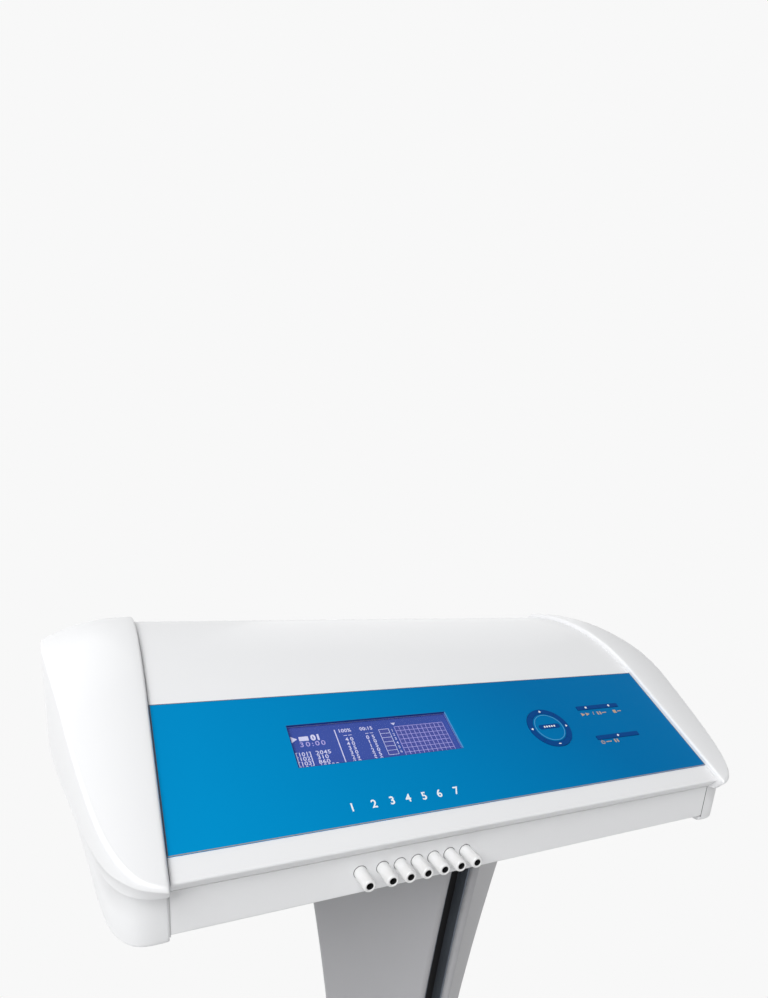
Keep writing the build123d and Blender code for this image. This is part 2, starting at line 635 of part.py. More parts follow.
def power_supply():
    """Boxed supply with cooling slots in its lid."""
    x0, x1, y0, y1, height = POWER_SUPPLY
    case = block(x0, x1, y0, y1, SHEET, height)
    slots, inset, depth = SUPPLY_SLOTS
    pitch = (x1 - x0) / slots
    for i in range(slots):
        x = x0 + pitch * (i + 0.5)
        case -= block(x - pitch / 5, x + pitch / 5, y0 + inset, y1 - inset, height - depth, height + 1)
    return case


def main_board():
    """Control board on four standoffs, with its chips, capacitors and heat sink."""
    x0, x1, y0, y1 = MAIN_BOARD
    under = SHEET + BOARD_STANDOFF
    top = under + BOARD_THICKNESS
    board = block(x0, x1, y0, y1, under, top)
    foot, inset = BOARD_FOOT
    for x in (x0 + inset, x1 - inset):
        for y in (y0 + inset, y1 - inset):
            board += rod(foot, (x, y, SHEET), (x, y, under))
    for dx, dy, wide, deep, tall in BOARD_BLOCKS:
        board += block(x0 + dx, x0 + dx + wide, y0 + dy, y0 + dy + deep, top, top + tall)
    radius, height, pitch = CAPACITOR
    for i in range(CAPACITOR_COUNT):
        spot = (x1 - 4 * radius - pitch * i, y1 - 3 * radius)
        board += rod(radius, (*spot, top), (*spot, top + height))
    return board


def back_plate():
    """Plate over the opening in the cover's back, with the fan grille and the inlet's opening."""
    x0, x1, z0, z1 = BACK_PLATE
    y0 = CONSOLE_DEPTH
    y1 = y0 + BACK_PLATE_THICKNESS
    plate = block(x0, x1, y0, y1, z0, z1)
    plate = fillet(plate.edges().filter_by(Axis.Y), BACK_PLATE_CORNER)
    reach = FAN_BORE - 1.0
    pitch = 2 * reach / GRILLE_BARS
    for i in range(GRILLE_BARS):
        dx = -reach + pitch * (i + 0.5)
        tall = math.sqrt(reach**2 - dx**2)
        x, z = FAN_MIDDLE[0] + dx, FAN_MIDDLE[1]
        plate -= block(x - GRILLE_SLOT / 2, x + GRILLE_SLOT / 2, y0 - 1, y1 + 1, z - tall, z + tall)
    width, height = INLET_BODY[0] + 2 * FIT_GAP, INLET_BODY[1] + 2 * FIT_GAP
    x, z = module_middle()
    plate -= block(x - width / 2, x + width / 2, y0 - 1, y1 + 1, z - height / 2, z + height / 2)
    return plate


def module_middle():
    """Middle of the inlet module, so that its socket lies at INLET_MIDDLE."""
    return (INLET_MIDDLE[0], INLET_MIDDLE[1] + INLET_DROP)


def rocker_middle():
    """Middle of the rocker, above the module's middle."""
    x, z = module_middle()
    return (x, z + ROCKER_RISE)


def inlet_module():
    """Mains inlet and switch frame in one moulding: a flange outside the plate, a body behind it."""
    x, z = module_middle()
    face = CONSOLE_DEPTH + BACK_PLATE_THICKNESS
    width, height, depth = INLET_FLANGE
    body = block(x - width / 2, x + width / 2, face, face + depth, z - height / 2, z + height / 2)
    body = fillet(body.edges().filter_by(Axis.Y), INLET_CORNERS[0])
    outer = face + depth
    width, height, depth = INLET_BODY
    body += block(x - width / 2, x + width / 2, face - depth, face, z - height / 2, z + height / 2)
    width, height, depth = INLET_SOCKET
    sx, sz = INLET_MIDDLE
    socket = block(sx - width / 2, sx + width / 2, outer - depth, outer + 1, sz - height / 2, sz + height / 2)
    body -= chamfer(socket.edges().filter_by(Axis.Y).group_by(Axis.Z)[-1], INLET_CORNERS[1])
    rx, rz = rocker_middle()
    width, height = (d / 2 + ROCKER_GAP for d in ROCKER_SIZE)
    return body - block(rx - width, rx + width, outer - ROCKER_WELL, outer + 1, rz - height, rz + height)


def inlet_pins():
    """Three contact blades on the floor of the socket."""
    wide, tall, long = INLET_PIN
    floor = CONSOLE_DEPTH + BACK_PLATE_THICKNESS + INLET_FLANGE[2] - INLET_SOCKET[2]
    x, z = INLET_MIDDLE
    blade = Pos(0, floor + long / 2, 0) * Box(wide, long, tall)
    return group([Pos(x + dx, 0, z + dz) * blade for dx, dz in INLET_PIN_SPOTS])


def mains_rocker():
    """Rocker with two faces in a shallow V, tilted to off, on its pivot line across the frame."""
    wide = ROCKER_SIZE[0] / 2
    tall = ROCKER_SIZE[1] / 2 - 0.5
    dip = tall * math.tan(math.radians(ROCKER_TILT))
    foot = tall - ROCKER_DEPTH / 4
    profile = make_face(
        Polyline(
            (0, -ROCKER_DEPTH, -foot), (0, 0, -tall), (0, ROCKER_FACE, -tall), (0, ROCKER_FACE - dip, 0),
            (0, ROCKER_FACE, tall), (0, 0, tall), (0, -ROCKER_DEPTH, foot), (0, -ROCKER_DEPTH, -foot),
        )
    )
    rocker = extrude(profile, amount=wide, both=True, dir=(1, 0, 0))
    x, z = rocker_middle()
    return Pos(x, rocker_pivot_y(), z) * Rot(ROCKER_TILT, 0, 0) * rocker


def rocker_pivot_y():
    """The rocker turns about a line just inside the module's face."""
    return CONSOLE_DEPTH + BACK_PLATE_THICKNESS + INLET_FLANGE[2]


def fan_frame():
    """Square fan housing with its motor carrier on four spokes, screwed behind the grille."""
    x, z = FAN_MIDDLE
    y1 = CONSOLE_DEPTH
    y0 = y1 - FAN_DEPTH
    half = FAN_SIZE / 2
    frame = block(x - half, x + half, y0, y1, z - half, z + half)
    frame = fillet(frame.edges().filter_by(Axis.Y), FAN_CORNER)
    frame -= rod(FAN_BORE, (x, y0 - 1, z), (x, y1 + 1, z))
    spoke, thick = FAN_SPOKE
    reach = FAN_BORE + SEAM
    carrier = rod(FAN_HUB, (x, y0, z), (x, y0 + thick, z))
    carrier += block(x - reach, x + reach, y0, y0 + thick, z - spoke, z + spoke)
    carrier += block(x - spoke, x + spoke, y0, y0 + thick, z - reach, z + reach)
    pin, length = FAN_PIN
    return frame + carrier + rod(pin, (x, y0 + thick, z), (x, y0 + thick + length, z))


def fan_rotor():
    """Hub with pitched blades, turning on the carrier's pin."""
    x, z = FAN_MIDDLE
    y0 = CONSOLE_DEPTH - FAN_DEPTH + FAN_SPOKE[1] + FIT_GAP
    rotor = rod(FAN_HUB, (x, y0, z), (x, y0 + ROTOR_DEPTH, z))
    chord, thick, pitch = FAN_BLADE
    blade = Pos((FAN_HUB + FAN_BORE - 3.0) / 2, 0, 0) * Rot(pitch, 0, 0)
    blade *= Box(FAN_BORE - FAN_HUB - SEAM, chord, thick)
    turned = Plane(origin=(x, y0 + ROTOR_DEPTH / 2, z), x_dir=(1, 0, 0), z_dir=(0, 1, 0))
    for i in range(FAN_BLADES):
        rotor += turned * Rot(0, 0, i * 360 / FAN_BLADES) * blade
    pin, length = FAN_PIN
    return rotor - rod(pin + RUNNING_GAP, (x, y0 - 1, z), (x, y0 + length + 1, z))


def console_screws():
    """Screws of the back plate, and the bolts and nuts that hold the console on the column."""
    x0, x1, z0, z1 = BACK_PLATE
    inset = BACK_PLATE_LAP / 2 + 1
    face = CONSOLE_DEPTH + BACK_PLATE_THICKNESS
    head, height, recess, depth = PLATE_SCREW
    end = face + height
    heads = [
        rod(head, (x, face, z), (x, end, z)) - rod(recess, (x, end - depth, z), (x, end + 1, z))
        for x in (x0 + inset, x1 - inset)
        for z in (z0 + inset, z1 - inset)
    ]
    radius, height = NUT_SIZE
    nuts = [
        rod(radius, (x, y, SHEET), (x, y, SHEET + height))
        + rod(BOLT_RADIUS - BOLT_PLAY, (x, y, BOLT_PLAY * 2 - TOP_PLATE[2]), (x, y, SHEET))
        for x, y in column_bolts()
    ]
    return group(heads + nuts)


# ------------------------------------------------------------------ column
def column_bolts():
    """Bolt places between the column's top plate and the tray, in the console frame."""
    width = TOP_PLATE[0]
    middle = POST_BACK - POST_SIZE / 2
    inset, off = TOP_BOLTS
    return [(x, y) for x in (inset - width / 2, width / 2 - inset) for y in (middle - off, middle + off)]


def column_at(z):
    """Half width, nose and edge set-back of the column at height z above the floor."""
    share = ((z - WAIST_HEIGHT) / (COLUMN_TOP - WAIST_HEIGHT)) ** 2
    return [
        low + (high - low) * share
        for low, high in (
            (WAIST_HALF_WIDTH, TOP_HALF_WIDTH), (WAIST_NOSE, TOP_NOSE), (WAIST_EDGE, TOP_EDGE)
        )
    ]


def shifted_path(points, inset):
    """A path moved to its left by inset, corner by corner."""
    moved = []
    for a, b in zip(points, points[1:]):
        size = math.hypot(b[0] - a[0], b[1] - a[1])
        side = (-(b[1] - a[1]) / size * inset, (b[0] - a[0]) / size * inset)
        start, end = ((p[0] + side[0], p[1] + side[1]) for p in (a, b))
        moved.append((start, (b[0] - a[0], b[1] - a[1]), end))
    corners = [line_meet(p[0], p[1], q[0], q[1]) for p, q in zip(moved, moved[1:])]
    return [moved[0][0], *corners, moved[-1][2]]


def wall_section(points, radii, z):
    """Face of a bent wall at height z: a path with rounded corners and the same path one wall inside it."""
    outer = FilletPolyline(*points, radius=radii)
    inner = FilletPolyline(*shifted_path(points, PANEL_WALL), radius=[r - PANEL_WALL for r in radii])
    ends = [Line(outer @ 1, inner @ 1), Line(inner @ 0, outer @ 0)]
    return Pos(0, -CONSOLE_SETBACK, z) * make_face([*outer.edges(), *inner.edges(), *ends])


def column_heights():
    """Heights at which the column's sections are drawn."""
    step = (COLUMN_TOP - COLUMN_FOOT) / (COLUMN_LEVELS - 1)
    return [COLUMN_FOOT + step * i for i in range(COLUMN_LEVELS)]


def column_flank():
    """Right flank: fold beside the gutter, rounded lip, slanted face, rounded edge and return."""
    faces = []
    for z in column_heights():
        half, nose, edge = column_at(z)
        end = (half - FLANK_RETURN * SIDE_SLANT, edge + FLANK_RETURN)
        path = [(CHANNEL_HALF, nose + FLANK_FOLD), (CHANNEL_HALF, nose), (half, edge), end]
        faces.append(wall_section(path, [LIP_ROUND, EDGE_ROUND], z))
    return loft(faces)


def column_back_cover():
    """Back of the column, a rounded trough behind the flanks."""
    faces = []
    for z in column_heights():
        half, _, edge = column_at(z)
        start, end = FLANK_RETURN + FIT_GAP, BACK_COVER_DEPTH
        wide, narrow = half - start * SIDE_SLANT, half - end * SIDE_SLANT
        path = [(wide, edge + start), (narrow, edge + end), (-narrow, edge + end), (-wide, edge + start)]
        faces.append(wall_section(path, [BACK_COVER_ROUND, BACK_COVER_ROUND], z))
    return loft(faces)


def column_channel():
    """Dark gutter that lines the channel between the flanks."""
    outer = CHANNEL_HALF - FIT_GAP
    inner = outer - GUTTER_WALL
    faces = []
    for z in column_heights():
        nose = column_at(z)[1] - CONSOLE_SETBACK
        front, floor = nose + GUTTER_LIP, nose + GUTTER_FLOOR
        back = floor + GUTTER_WALL
        section = Polyline(
            (-outer, front), (-inner, front), (-inner, floor), (inner, floor), (inner, front), (outer, front),
            (outer, back), (-outer, back), (-outer, front),
        )
        faces.append(Pos(0, 0, z) * make_face(section))
    return loft(faces)


def post_middle():
    """The post's middle in Y, in the part's frame."""
    return POST_BACK - POST_SIZE / 2 - CONSOLE_SETBACK


def column_post():
    """Square steel tube with a welded foot plate."""
    y = post_middle()
    half = POST_SIZE / 2
    low, high = PLATE_TOP, TRAY_HEIGHT - TOP_PLATE[2]
    post = block(-half, half, y - half, y + half, low, high)
    foot = FOOT_PLATE[0] / 2
    post += block(-foot, foot, y - foot, y + foot, low, low + FOOT_PLATE[1])
    inner = half - POST_WALL
    post -= block(-inner, inner, y - inner, y + inner, low - 1, high + 1)
    for x, dy in foot_bolts():
        post -= rod(BOLT_RADIUS + BOLT_PLAY, (x, y + dy, low - 1), (x, y + dy, low + FOOT_PLATE[1] + 1))
    return post


def foot_bolts():
    """Bolt places of the foot plate, about the post's middle."""
    reach = (POST_SIZE + FOOT_PLATE[0]) / 4
    return [(x, y) for x in (-reach, reach) for y in (-reach, reach)]


def column_top_plate():
    """Steel plate on the post, under the tray."""
    y = post_middle()
    width, length, thick = TOP_PLATE
    plate = block(-width / 2, width / 2, y - length / 2, y + length / 2, TRAY_HEIGHT - thick, TRAY_HEIGHT)
    for x, console_y in column_bolts():
        spot = console_y - CONSOLE_SETBACK
        plate -= rod(BOLT_RADIUS, (x, spot, TRAY_HEIGHT - thick - 1), (x, spot, TRAY_HEIGHT + 1))
    return plate


# ------------------------------------------------------------------ base
def castor_spots():
    """Swivel axes of the four castors, the two braked ones in front first."""
    return [(-CASTOR_X, -CASTOR_Y), (CASTOR_X, -CASTOR_Y), (-CASTOR_X, CASTOR_Y), (CASTOR_X, CASTOR_Y)]


def base_plate():
    """Steel plate with a hole for each castor's stem and for the foot bolts."""
    inset = 2 * (BASE_WALL + PLATE_MARGIN)
    outline = RectangleRounded(BASE_WIDTH - inset, BASE_LENGTH - inset, BASE_CORNER - inset / 2)
    plate = Pos(0, 0, PLATE_UNDERSIDE) * extrude(outline, amount=PLATE_THICKNESS)
    for x, y in castor_spots():
        plate -= rod(STEM_RADIUS + RUNNING_GAP, (x, y, PLATE_UNDERSIDE - 1), (x, y, PLATE_TOP + 1))
    for x, dy in foot_bolts():
        y = post_middle() + dy
        plate -= rod(BOLT_RADIUS + BOLT_PLAY, (x, y, PLATE_UNDERSIDE - 1), (x, y, PLATE_TOP + 1))
    return plate


def base_form(inset):
    """Rim and sloping top of the base cover, pulled in by inset."""
    rim = RectangleRounded(BASE_WIDTH - 2 * inset, BASE_LENGTH - 2 * inset, BASE_CORNER - inset)
    collar = RectangleRounded(COLLAR_SIZE[0] - 2 * inset, COLLAR_SIZE[1] - 2 * inset, COLLAR_CORNER - inset)
    low = BASE_UNDERSIDE - inset
    shoulder = BASE_UNDERSIDE + BASE_RIM - inset / 3
    top = COLLAR_TOP - inset
    form = Pos(0, 0, low) * extrude(rim, amount=shoulder - low)
    return form + loft([Pos(0, 0, shoulder) * rim, Pos(0, COLLAR_Y, top) * collar], ruled=True)


def base_cover():
    """Moulded cover over the base plate, with four bosses that stand on it and an opening for the post."""
    room = base_form(BASE_WALL)
    shell = base_form(0) - room
    for x, y in castor_spots():
        spot = (x * BOSS_SHARES[0], y * BOSS_SHARES[1])
        shell += rod(BOSS_RADIUS, (*spot, PLATE_TOP), (*spot, COLLAR_TOP)) & room
    y = post_middle()
    half = COLLAR_OPENING / 2
    shell -= block(-half, half, y - half, y + half, COLLAR_TOP - 4 * BASE_WALL, COLLAR_TOP + 1)
    rim_edges = shell.edges().filter_by_position(Axis.Z, BASE_UNDERSIDE - 0.1, BASE_UNDERSIDE + 0.1)
    longest = max(e.center().length for e in rim_edges)
    return fillet([e for e in rim_edges if e.center().length > longest * 0.2 and outer_rim(e)], 1.0)


def outer_rim(edge):
    """True for an edge on the cover's outer outline."""
    x, y = abs((edge @ 0.5).X), abs((edge @ 0.5).Y)
    flat = x > BASE_WIDTH / 2 - 0.1 or y > BASE_LENGTH / 2 - 0.1
    corner = math.hypot(x - BASE_WIDTH / 2 + BASE_CORNER, y - BASE_LENGTH / 2 + BASE_CORNER)
    return flat or abs(corner - BASE_CORNER) < 0.1


def base_screws():
    """Bolts that hold the post's foot on the base plate."""
    y = post_middle()
    seat = PLATE_TOP + FOOT_PLATE[1]
    return group([bolt((x, y + dy, seat), seat - PLATE_UNDERSIDE) for x, dy in foot_bolts()])


# ------------------------------------------------------------------ castors, about the swivel axis at floor level
def castor_fork(braked):
    """Stem, housing and two cheeks with the axle; a braked fork also has the brake's pin."""
    cheek_in = WHEEL_WIDTH / 2 + FORK_SIDE_GAP
    cheek_out = cheek_in + FORK_WALL
    crown = 2 * WHEEL_RADIUS + 2.0
    top = PLATE_UNDERSIDE - FIT_GAP
    fork = rod(HOUSING_RADIUS, (0, 0, crown), (0, 0, top)) + rod(STEM_RADIUS, (0, 0, top), (0, 0, PLATE_TOP + 3.0))
    fork += rod(STEM_RADIUS + 3.0, (0, 0, PLATE_TOP + FIT_GAP), (0, 0, PLATE_TOP + 3.0))
    back = BRAKE_PIVOT[0] + 5.0 if braked else CASTOR_TRAIL + 12.0
    bridge_back = CASTOR_TRAIL + 6.0
    fork += block(-cheek_out, cheek_out, -HOUSING_RADIUS + 4.0, bridge_back, crown, crown + FORK_WALL)
    low = WHEEL_RADIUS - 8.0
    outline = Polyline(
        (-HOUSING_RADIUS + 4.0, crown + FORK_WALL), (CASTOR_TRAIL - 8.0, low), (CASTOR_TRAIL + 8.0, low),
        (back, BRAKE_PIVOT[1] - 5.0), (back, crown + FORK_WALL), (-HOUSING_RADIUS + 4.0, crown + FORK_WALL),
    )
    plane = Plane(origin=(cheek_in, 0, 0), x_dir=(0, 1, 0), z_dir=(1, 0, 0))
    cheek = extrude(plane * make_face(outline), amount=FORK_WALL)
    fork += cheek + mirror(cheek, about=Plane.YZ)
    reach = cheek_out + 1.5
    fork += rod(AXLE_RADIUS, (-reach, CASTOR_TRAIL, WHEEL_RADIUS), (reach, CASTOR_TRAIL, WHEEL_RADIUS))
    if braked:
        fork += rod(BRAKE_PIN_RADIUS, (-cheek_out, *BRAKE_PIVOT), (cheek_out, *BRAKE_PIVOT))
    return fork


def castor_wheel():
    """Wheel with a rounded tread and dished sides."""
    half = WHEEL_WIDTH / 2
    wheel = rod(WHEEL_RADIUS, (-half, 0, 0), (half, 0, 0))
    wheel = fillet(wheel.edges().filter_by(GeomType.CIRCLE), WHEEL_ROUND)
    hub, rim, dish = WHEEL_DISH
    for side in (-1, 1):
        wheel -= tube(rim, hub, (side * half, 0, 0), (side * (half - dish), 0, 0))
    wheel -= rod(AXLE_RADIUS + RUNNING_GAP, (-half - 1, 0, 0), (half + 1, 0, 0))
    return Pos(0, CASTOR_TRAIL, WHEEL_RADIUS) * wheel


def castor_brake():
    """Pedal on its pin between the cheeks."""
    half = WHEEL_WIDTH / 2
    y, z = BRAKE_PIVOT
    pedal = rod(BRAKE_HUB_RADIUS, (-half, y, z), (half, y, z))
    pedal += block(-half, half, y, y + BRAKE_LENGTH, z + BRAKE_HUB_RADIUS - BRAKE_THICKNESS, z + BRAKE_HUB_RADIUS)
    return pedal - rod(BRAKE_PIN_RADIUS + RUNNING_GAP, (-half - 1, y, z), (half + 1, y, z))


# ------------------------------------------------------------------ assembly
def console_nodes():
    """All pieces of the console, in the console frame."""
    cap = end_cap()
    nodes = {
        "top_cover": top_cover(),
        "lower_tray": lower_tray(),
        "end_cap_right": cap,
        "end_cap_left": mirror(cap, about=Plane.YZ),
        "fascia_panel": fascia_panel(),
        "display_lens": display_lens(),
        "display_module": display_module(),
        "key_select": solid_key(Circle(RING_INNER - KEY_GAP / 2), RING_MIDDLE),
        "key_switches": key_switches(),
        "key_board": key_board(),
        "outlet_nuts": outlet_nuts(),
        "air_tubes": air_tubes(),
        "valve_manifold": valve_manifold(),
        "solenoid_valves": solenoid_valves(),
        "compressor_body": compressor_body(),
        "compressor_feet": compressor_feet(),
        "compressor_motor": compressor_motor(),
        "power_supply": power_supply(),
        "main_board": main_board(),
        "back_plate": back_plate(),
        "inlet_module": inlet_module(),
        "inlet_pins": inlet_pins(),
        "mains_rocker": mains_rocker(),
        "fan_frame": fan_frame(),
        "fan_rotor": fan_rotor(),
        "console_screws": console_screws(),
        **ring_keys(),
        **bar_keys(),
    }
    for number, x in enumerate(OUTLET_X, 1):
        nodes[f"air_outlet_{number}"] = air_outlet(x)
    return {name: CONSOLE * shape for name, shape in nodes.items()}


def stand_nodes():
    """The column, the base and the castors, in the part's frame."""
    flank = column_flank()
    nodes = {
        "column_flank_right": flank,
        "column_flank_left": mirror(flank, about=Plane.YZ),
        "column_back_cover": column_back_cover(),
        "column_channel": column_channel(),
        "column_post": column_post(),
        "column_top_plate": column_top_plate(),
        "base_plate": base_plate(),
        "base_cover": base_cover(),
        "base_screws": base_screws(),
    }
    for number, (x, y) in enumerate(castor_spots(), 1):
        spot = Pos(x, y, 0)
        braked = number <= 2
        nodes[f"castor_fork_{number}"] = spot * castor_fork(braked)
        nodes[f"castor_wheel_{number}"] = spot * castor_wheel()
        if braked:
            nodes[f"castor_brake_{number}"] = spot * castor_brake()
    return nodes


def all_nodes():
    """Every piece of the part by name."""
    return {**console_nodes(), **stand_nodes()}


if __name__ == "__main__":
    os.makedirs("parts", exist_ok=True)
    for name, shape in all_nodes().items():
        export_step(shape, f"parts/{name}.step")
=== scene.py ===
import math

import bpy
import numpy as np
from mathutils import Matrix, Vector


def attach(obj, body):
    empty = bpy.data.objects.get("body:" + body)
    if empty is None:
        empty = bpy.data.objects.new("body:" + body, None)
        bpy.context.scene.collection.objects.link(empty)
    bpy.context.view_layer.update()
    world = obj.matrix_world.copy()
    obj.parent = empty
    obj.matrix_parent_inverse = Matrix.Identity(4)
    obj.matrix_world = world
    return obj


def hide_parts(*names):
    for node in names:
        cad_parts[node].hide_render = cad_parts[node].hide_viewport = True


bl_info = {
    "name": "Compression pump dresser",
    "version": (1, 0, 0),
    "blender": (4, 5, 0),
    "location": "3D View > Sidebar > Pump",
    "description": "Adds the finished surfaces, print and trim of a compression therapy pump to its frame",
    "category": "Object",
}

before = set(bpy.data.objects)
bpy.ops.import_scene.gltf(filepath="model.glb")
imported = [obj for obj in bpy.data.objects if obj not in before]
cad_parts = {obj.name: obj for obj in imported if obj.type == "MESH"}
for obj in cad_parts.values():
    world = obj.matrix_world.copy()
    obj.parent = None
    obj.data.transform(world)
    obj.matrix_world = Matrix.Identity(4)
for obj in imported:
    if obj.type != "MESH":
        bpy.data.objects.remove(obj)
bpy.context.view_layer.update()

# Lengths are millimetres in the console frame until a place function turns them into metres.
MM = 0.001
CONSOLE = Vector((0.0, -0.128, 0.862))  # middle of the tray's lower front edge

# The cover's section, as (depth, height).
HALF_WIDTH = 225.0  # from the middle to the seams beside the end caps
DEPTH = 288.0
SLOPE = math.radians(28.46)
SLOPE_FOOT = (-8.6, 39.0)
SLOPE_TOP = (111.13, 103.86)
CROWN_RADIUS = 250.9
CROWN_MIDDLE = (
    SLOPE_TOP[0] + CROWN_RADIUS * math.sin(SLOPE),
    SLOPE_TOP[1] - CROWN_RADIUS * math.cos(SLOPE),
)
BACK_RADIUS = 16.0

# Heights above the cover's slope.
FASCIA_TOP = 0.8
KEY_TOP = 1.2
CELL_TOP = -2.3
PRINT_FOOT = 0.05  # how far print reaches down into what carries it

# Places on the slope, as (across, up the slope).
FASCIA_FOOT, FASCIA_MIDDLE, FASCIA_HEAD = 17.2, 76.6, 136.1
FASCIA_WIDTH = 449.0
FASCIA_SIDE = 224.2  # middle of the line at its side
SIDE_LINE = 118.0  # length of that line
NUMERALS = [
    (-108.7, 30.3), (-92.8, 30.5), (-79.2, 30.9), (-67.0, 30.8), (-54.6, 30.5), (-42.4, 30.6), (-28.4, 30.8),
]
RING = (86.4, 78.2)
SELECT_RADIUS = 14.1
ARROW_REACH = 18.0
KEY_DOTS = {"start": (138.9, 96.0), "stop": (166.5, 96.0), "standby": (152.4, 61.2)}
KEY_DOT = 1.35  # from its middle to a corner
WINDOW = (-70.1, 87.2, 131.8, 38.9)  # middle across, middle up, width, height
LINER = 0.4  # width of the strips inside the window
GRID = (-52.0, -9.4, 68.6, 98.4)  # left, right, foot, head
GRID_CELLS = (11, 7)
LADDER_X = -61.5
LADDER_STEP = 4.15
LETTER_SHARE = 0.72  # a numeral's height as a share of its letter size

OUTLETS_X = [-108.0] + [-91.8 + 12.84 * i for i in range(6)]
OUTLET_Z = 16.3

# The stand, from the floor's origin.
CASTORS = [(-200.0, -185.0), (200.0, -185.0), (-200.0, 185.0), (200.0, 185.0)]
CASTOR_TRAIL = 18.0
WHEEL_RADIUS = 25.0
POST_MIDDLE = 7.0
COLLAR_SEAT = 100.02  # just above the base cover
COLLAR_WIDTH = 108.0
COLLAR_HEIGHT = 2.0
COLLAR_ROUND = 9.0

BACKDROP = (0.939, 0.939, 0.939, 1)  # the plain white round the object


class PumpSizes(bpy.types.PropertyGroup):
    """Sizes of the print, the end caps' roundings and the floor."""

    print_height: bpy.props.FloatProperty(
        name="Print height", description="How far printed marks stand above the sheet",
        default=0.00012, unit="LENGTH",
    )
    outline_width: bpy.props.FloatProperty(
        name="Outline width", description="Width of the thin outline on the select key",
        default=0.00045, unit="LENGTH",
    )
    numeral_height: bpy.props.FloatProperty(
        name="Numeral height", description="Height of the numerals above the outlets",
        default=0.0064, unit="LENGTH",
    )
    seam_round: bpy.props.FloatProperty(
        name="Seam rounding", description="Rounding of the end caps along the seam",
        default=0.002, unit="LENGTH",
    )
    rim_round: bpy.props.FloatProperty(
        name="Rim rounding", description="Rounding between the end caps' top and side",
        default=0.004, unit="LENGTH",
    )
    floor_size: bpy.props.FloatProperty(
        name="Floor size", description="Width of the round studio floor",
        default=24.0, unit="LENGTH",
    )


class PumpColours(bpy.types.PropertyGroup):
    """Colours of the finishes, as linear values."""

    shell: bpy.props.FloatVectorProperty(
        name="Shell", description="White of the cover, tray and end caps",
        subtype="COLOR", default=(0.83, 0.835, 0.845),
    )
    # Painted light: the fascia's one blue, lit lighter at the left end and shaded darker at the right end.
    print_left: bpy.props.FloatVectorProperty(
        name="Fascia, left", description="Blue of the fascia's left end",
        subtype="COLOR", default=(0.0, 0.27, 0.585),
    )
    print_right: bpy.props.FloatVectorProperty(
        name="Fascia, right", description="Blue of the fascia's right end",
        subtype="COLOR", default=(0.0, 0.158, 0.405),
    )
    key: bpy.props.FloatVectorProperty(
        name="Keys", description="Navy of the keys",
        subtype="COLOR", default=(0.003, 0.062, 0.25),
    )
    outline: bpy.props.FloatVectorProperty(
        name="Outline", description="Light blue of the select key's outline",
        subtype="COLOR", default=(0.07, 0.33, 0.60),
    )
    legend: bpy.props.FloatVectorProperty(
        name="Legends", description="Tan of the key legends",
        subtype="COLOR", default=(0.50, 0.33, 0.22),
    )
    cell: bpy.props.FloatVectorProperty(
        name="Display", description="Violet of the display",
        subtype="COLOR", default=(0.040, 0.084, 0.37),
    )
    column: bpy.props.FloatVectorProperty(
        name="Column", description="Grey paint of the column",
        subtype="COLOR", default=(0.40, 0.40, 0.415),
    )


def sizes():
    """The sizes set in the panel."""
    return bpy.context.scene.pump_sizes


def colours():
    """The colours set in the panel."""
    return bpy.context.scene.pump_colours


# ------------------------------------------------------------------ places
def console(x, y, z):
    """A place in the console frame, in metres from the floor's origin."""
    return CONSOLE + Vector((x, y, z)) * MM


def slope_matrix(height):
    """Lays flat work, drawn in metres, on the slope at a height in millimetres above the cover."""
    c, s = math.cos(SLOPE), math.sin(SLOPE)
    start = console(0, SLOPE_FOOT[0] - height * s, SLOPE_FOOT[1] + height * c)
    turn = Matrix(((1, 0, 0), (0, c, -s), (0, s, c))).to_4x4()
    return Matrix.Translation(start) @ turn


# ------------------------------------------------------------------ modelling
def clear_selection():
    """Leaves edit mode and deselects everything."""
    if bpy.context.object and bpy.context.object.mode != "OBJECT":
        bpy.ops.object.mode_set(mode="OBJECT")
    bpy.ops.object.select_all(action="DESELECT")


def only(obj):
    """Selects one object alone and makes it the active one."""
    clear_selection()
    obj.select_set(True)
    bpy.context.view_layer.objects.active = obj


def joined(objects):
    """One mesh object from several."""
    only(objects[0])
    for obj in objects[1:]:
        obj.select_set(True)
    if len(objects) > 1:
        bpy.ops.object.join()
    return bpy.context.view_layer.objects.active


def copied(model):
    """A copy of a modelled shape with its own mesh."""
    copy = model.copy()
    copy.data = model.data.copy()
    bpy.context.scene.collection.objects.link(copy)
    return copy


def flat_shape(points):
    """A flat face through points given in millimetres."""
    clear_selection()
    bpy.ops.mesh.primitive_circle_add(vertices=len(points), fill_type="NGON")
    obj = bpy.context.object
    for vertex, (x, y) in zip(obj.data.vertices, points):
        vertex.co = (x * MM, y * MM, 0)
    return obj


def flat_bar(x, y, width, height, round_=0.0):
    """A flat rectangle about its middle, with rounded corners if asked."""
    if not round_:
        w, h = width / 2, height / 2
        return flat_shape([(x - w, y - h), (x + w, y - h), (x + w, y + h), (x - w, y + h)])
    points = []
    for quarter, (sx, sy) in enumerate(((1, 1), (-1, 1), (-1, -1), (1, -1))):
        cx, cy = x + sx * (width / 2 - round_), y + sy * (height / 2 - round_)
        for i in range(7):
            a = math.radians(90 * quarter + 15 * i)
            points.append((cx + round_ * math.cos(a), cy + round_ * math.sin(a)))
    return flat_shape(points)


def sheet(rows, columns, place):
    """A grid whose points are put where place(row, column) says, in metres."""
    clear_selection()
    bpy.ops.mesh.primitive_grid_add(x_subdivisions=columns - 1, y_subdivisions=rows - 1, size=1)
    obj = bpy.context.object
    for vertex in obj.data.vertices:
        column = round((vertex.co.x + 0.5) * (columns - 1))
        row = round((vertex.co.y + 0.5) * (rows - 1))
        vertex.co = place(row, column)
    return obj


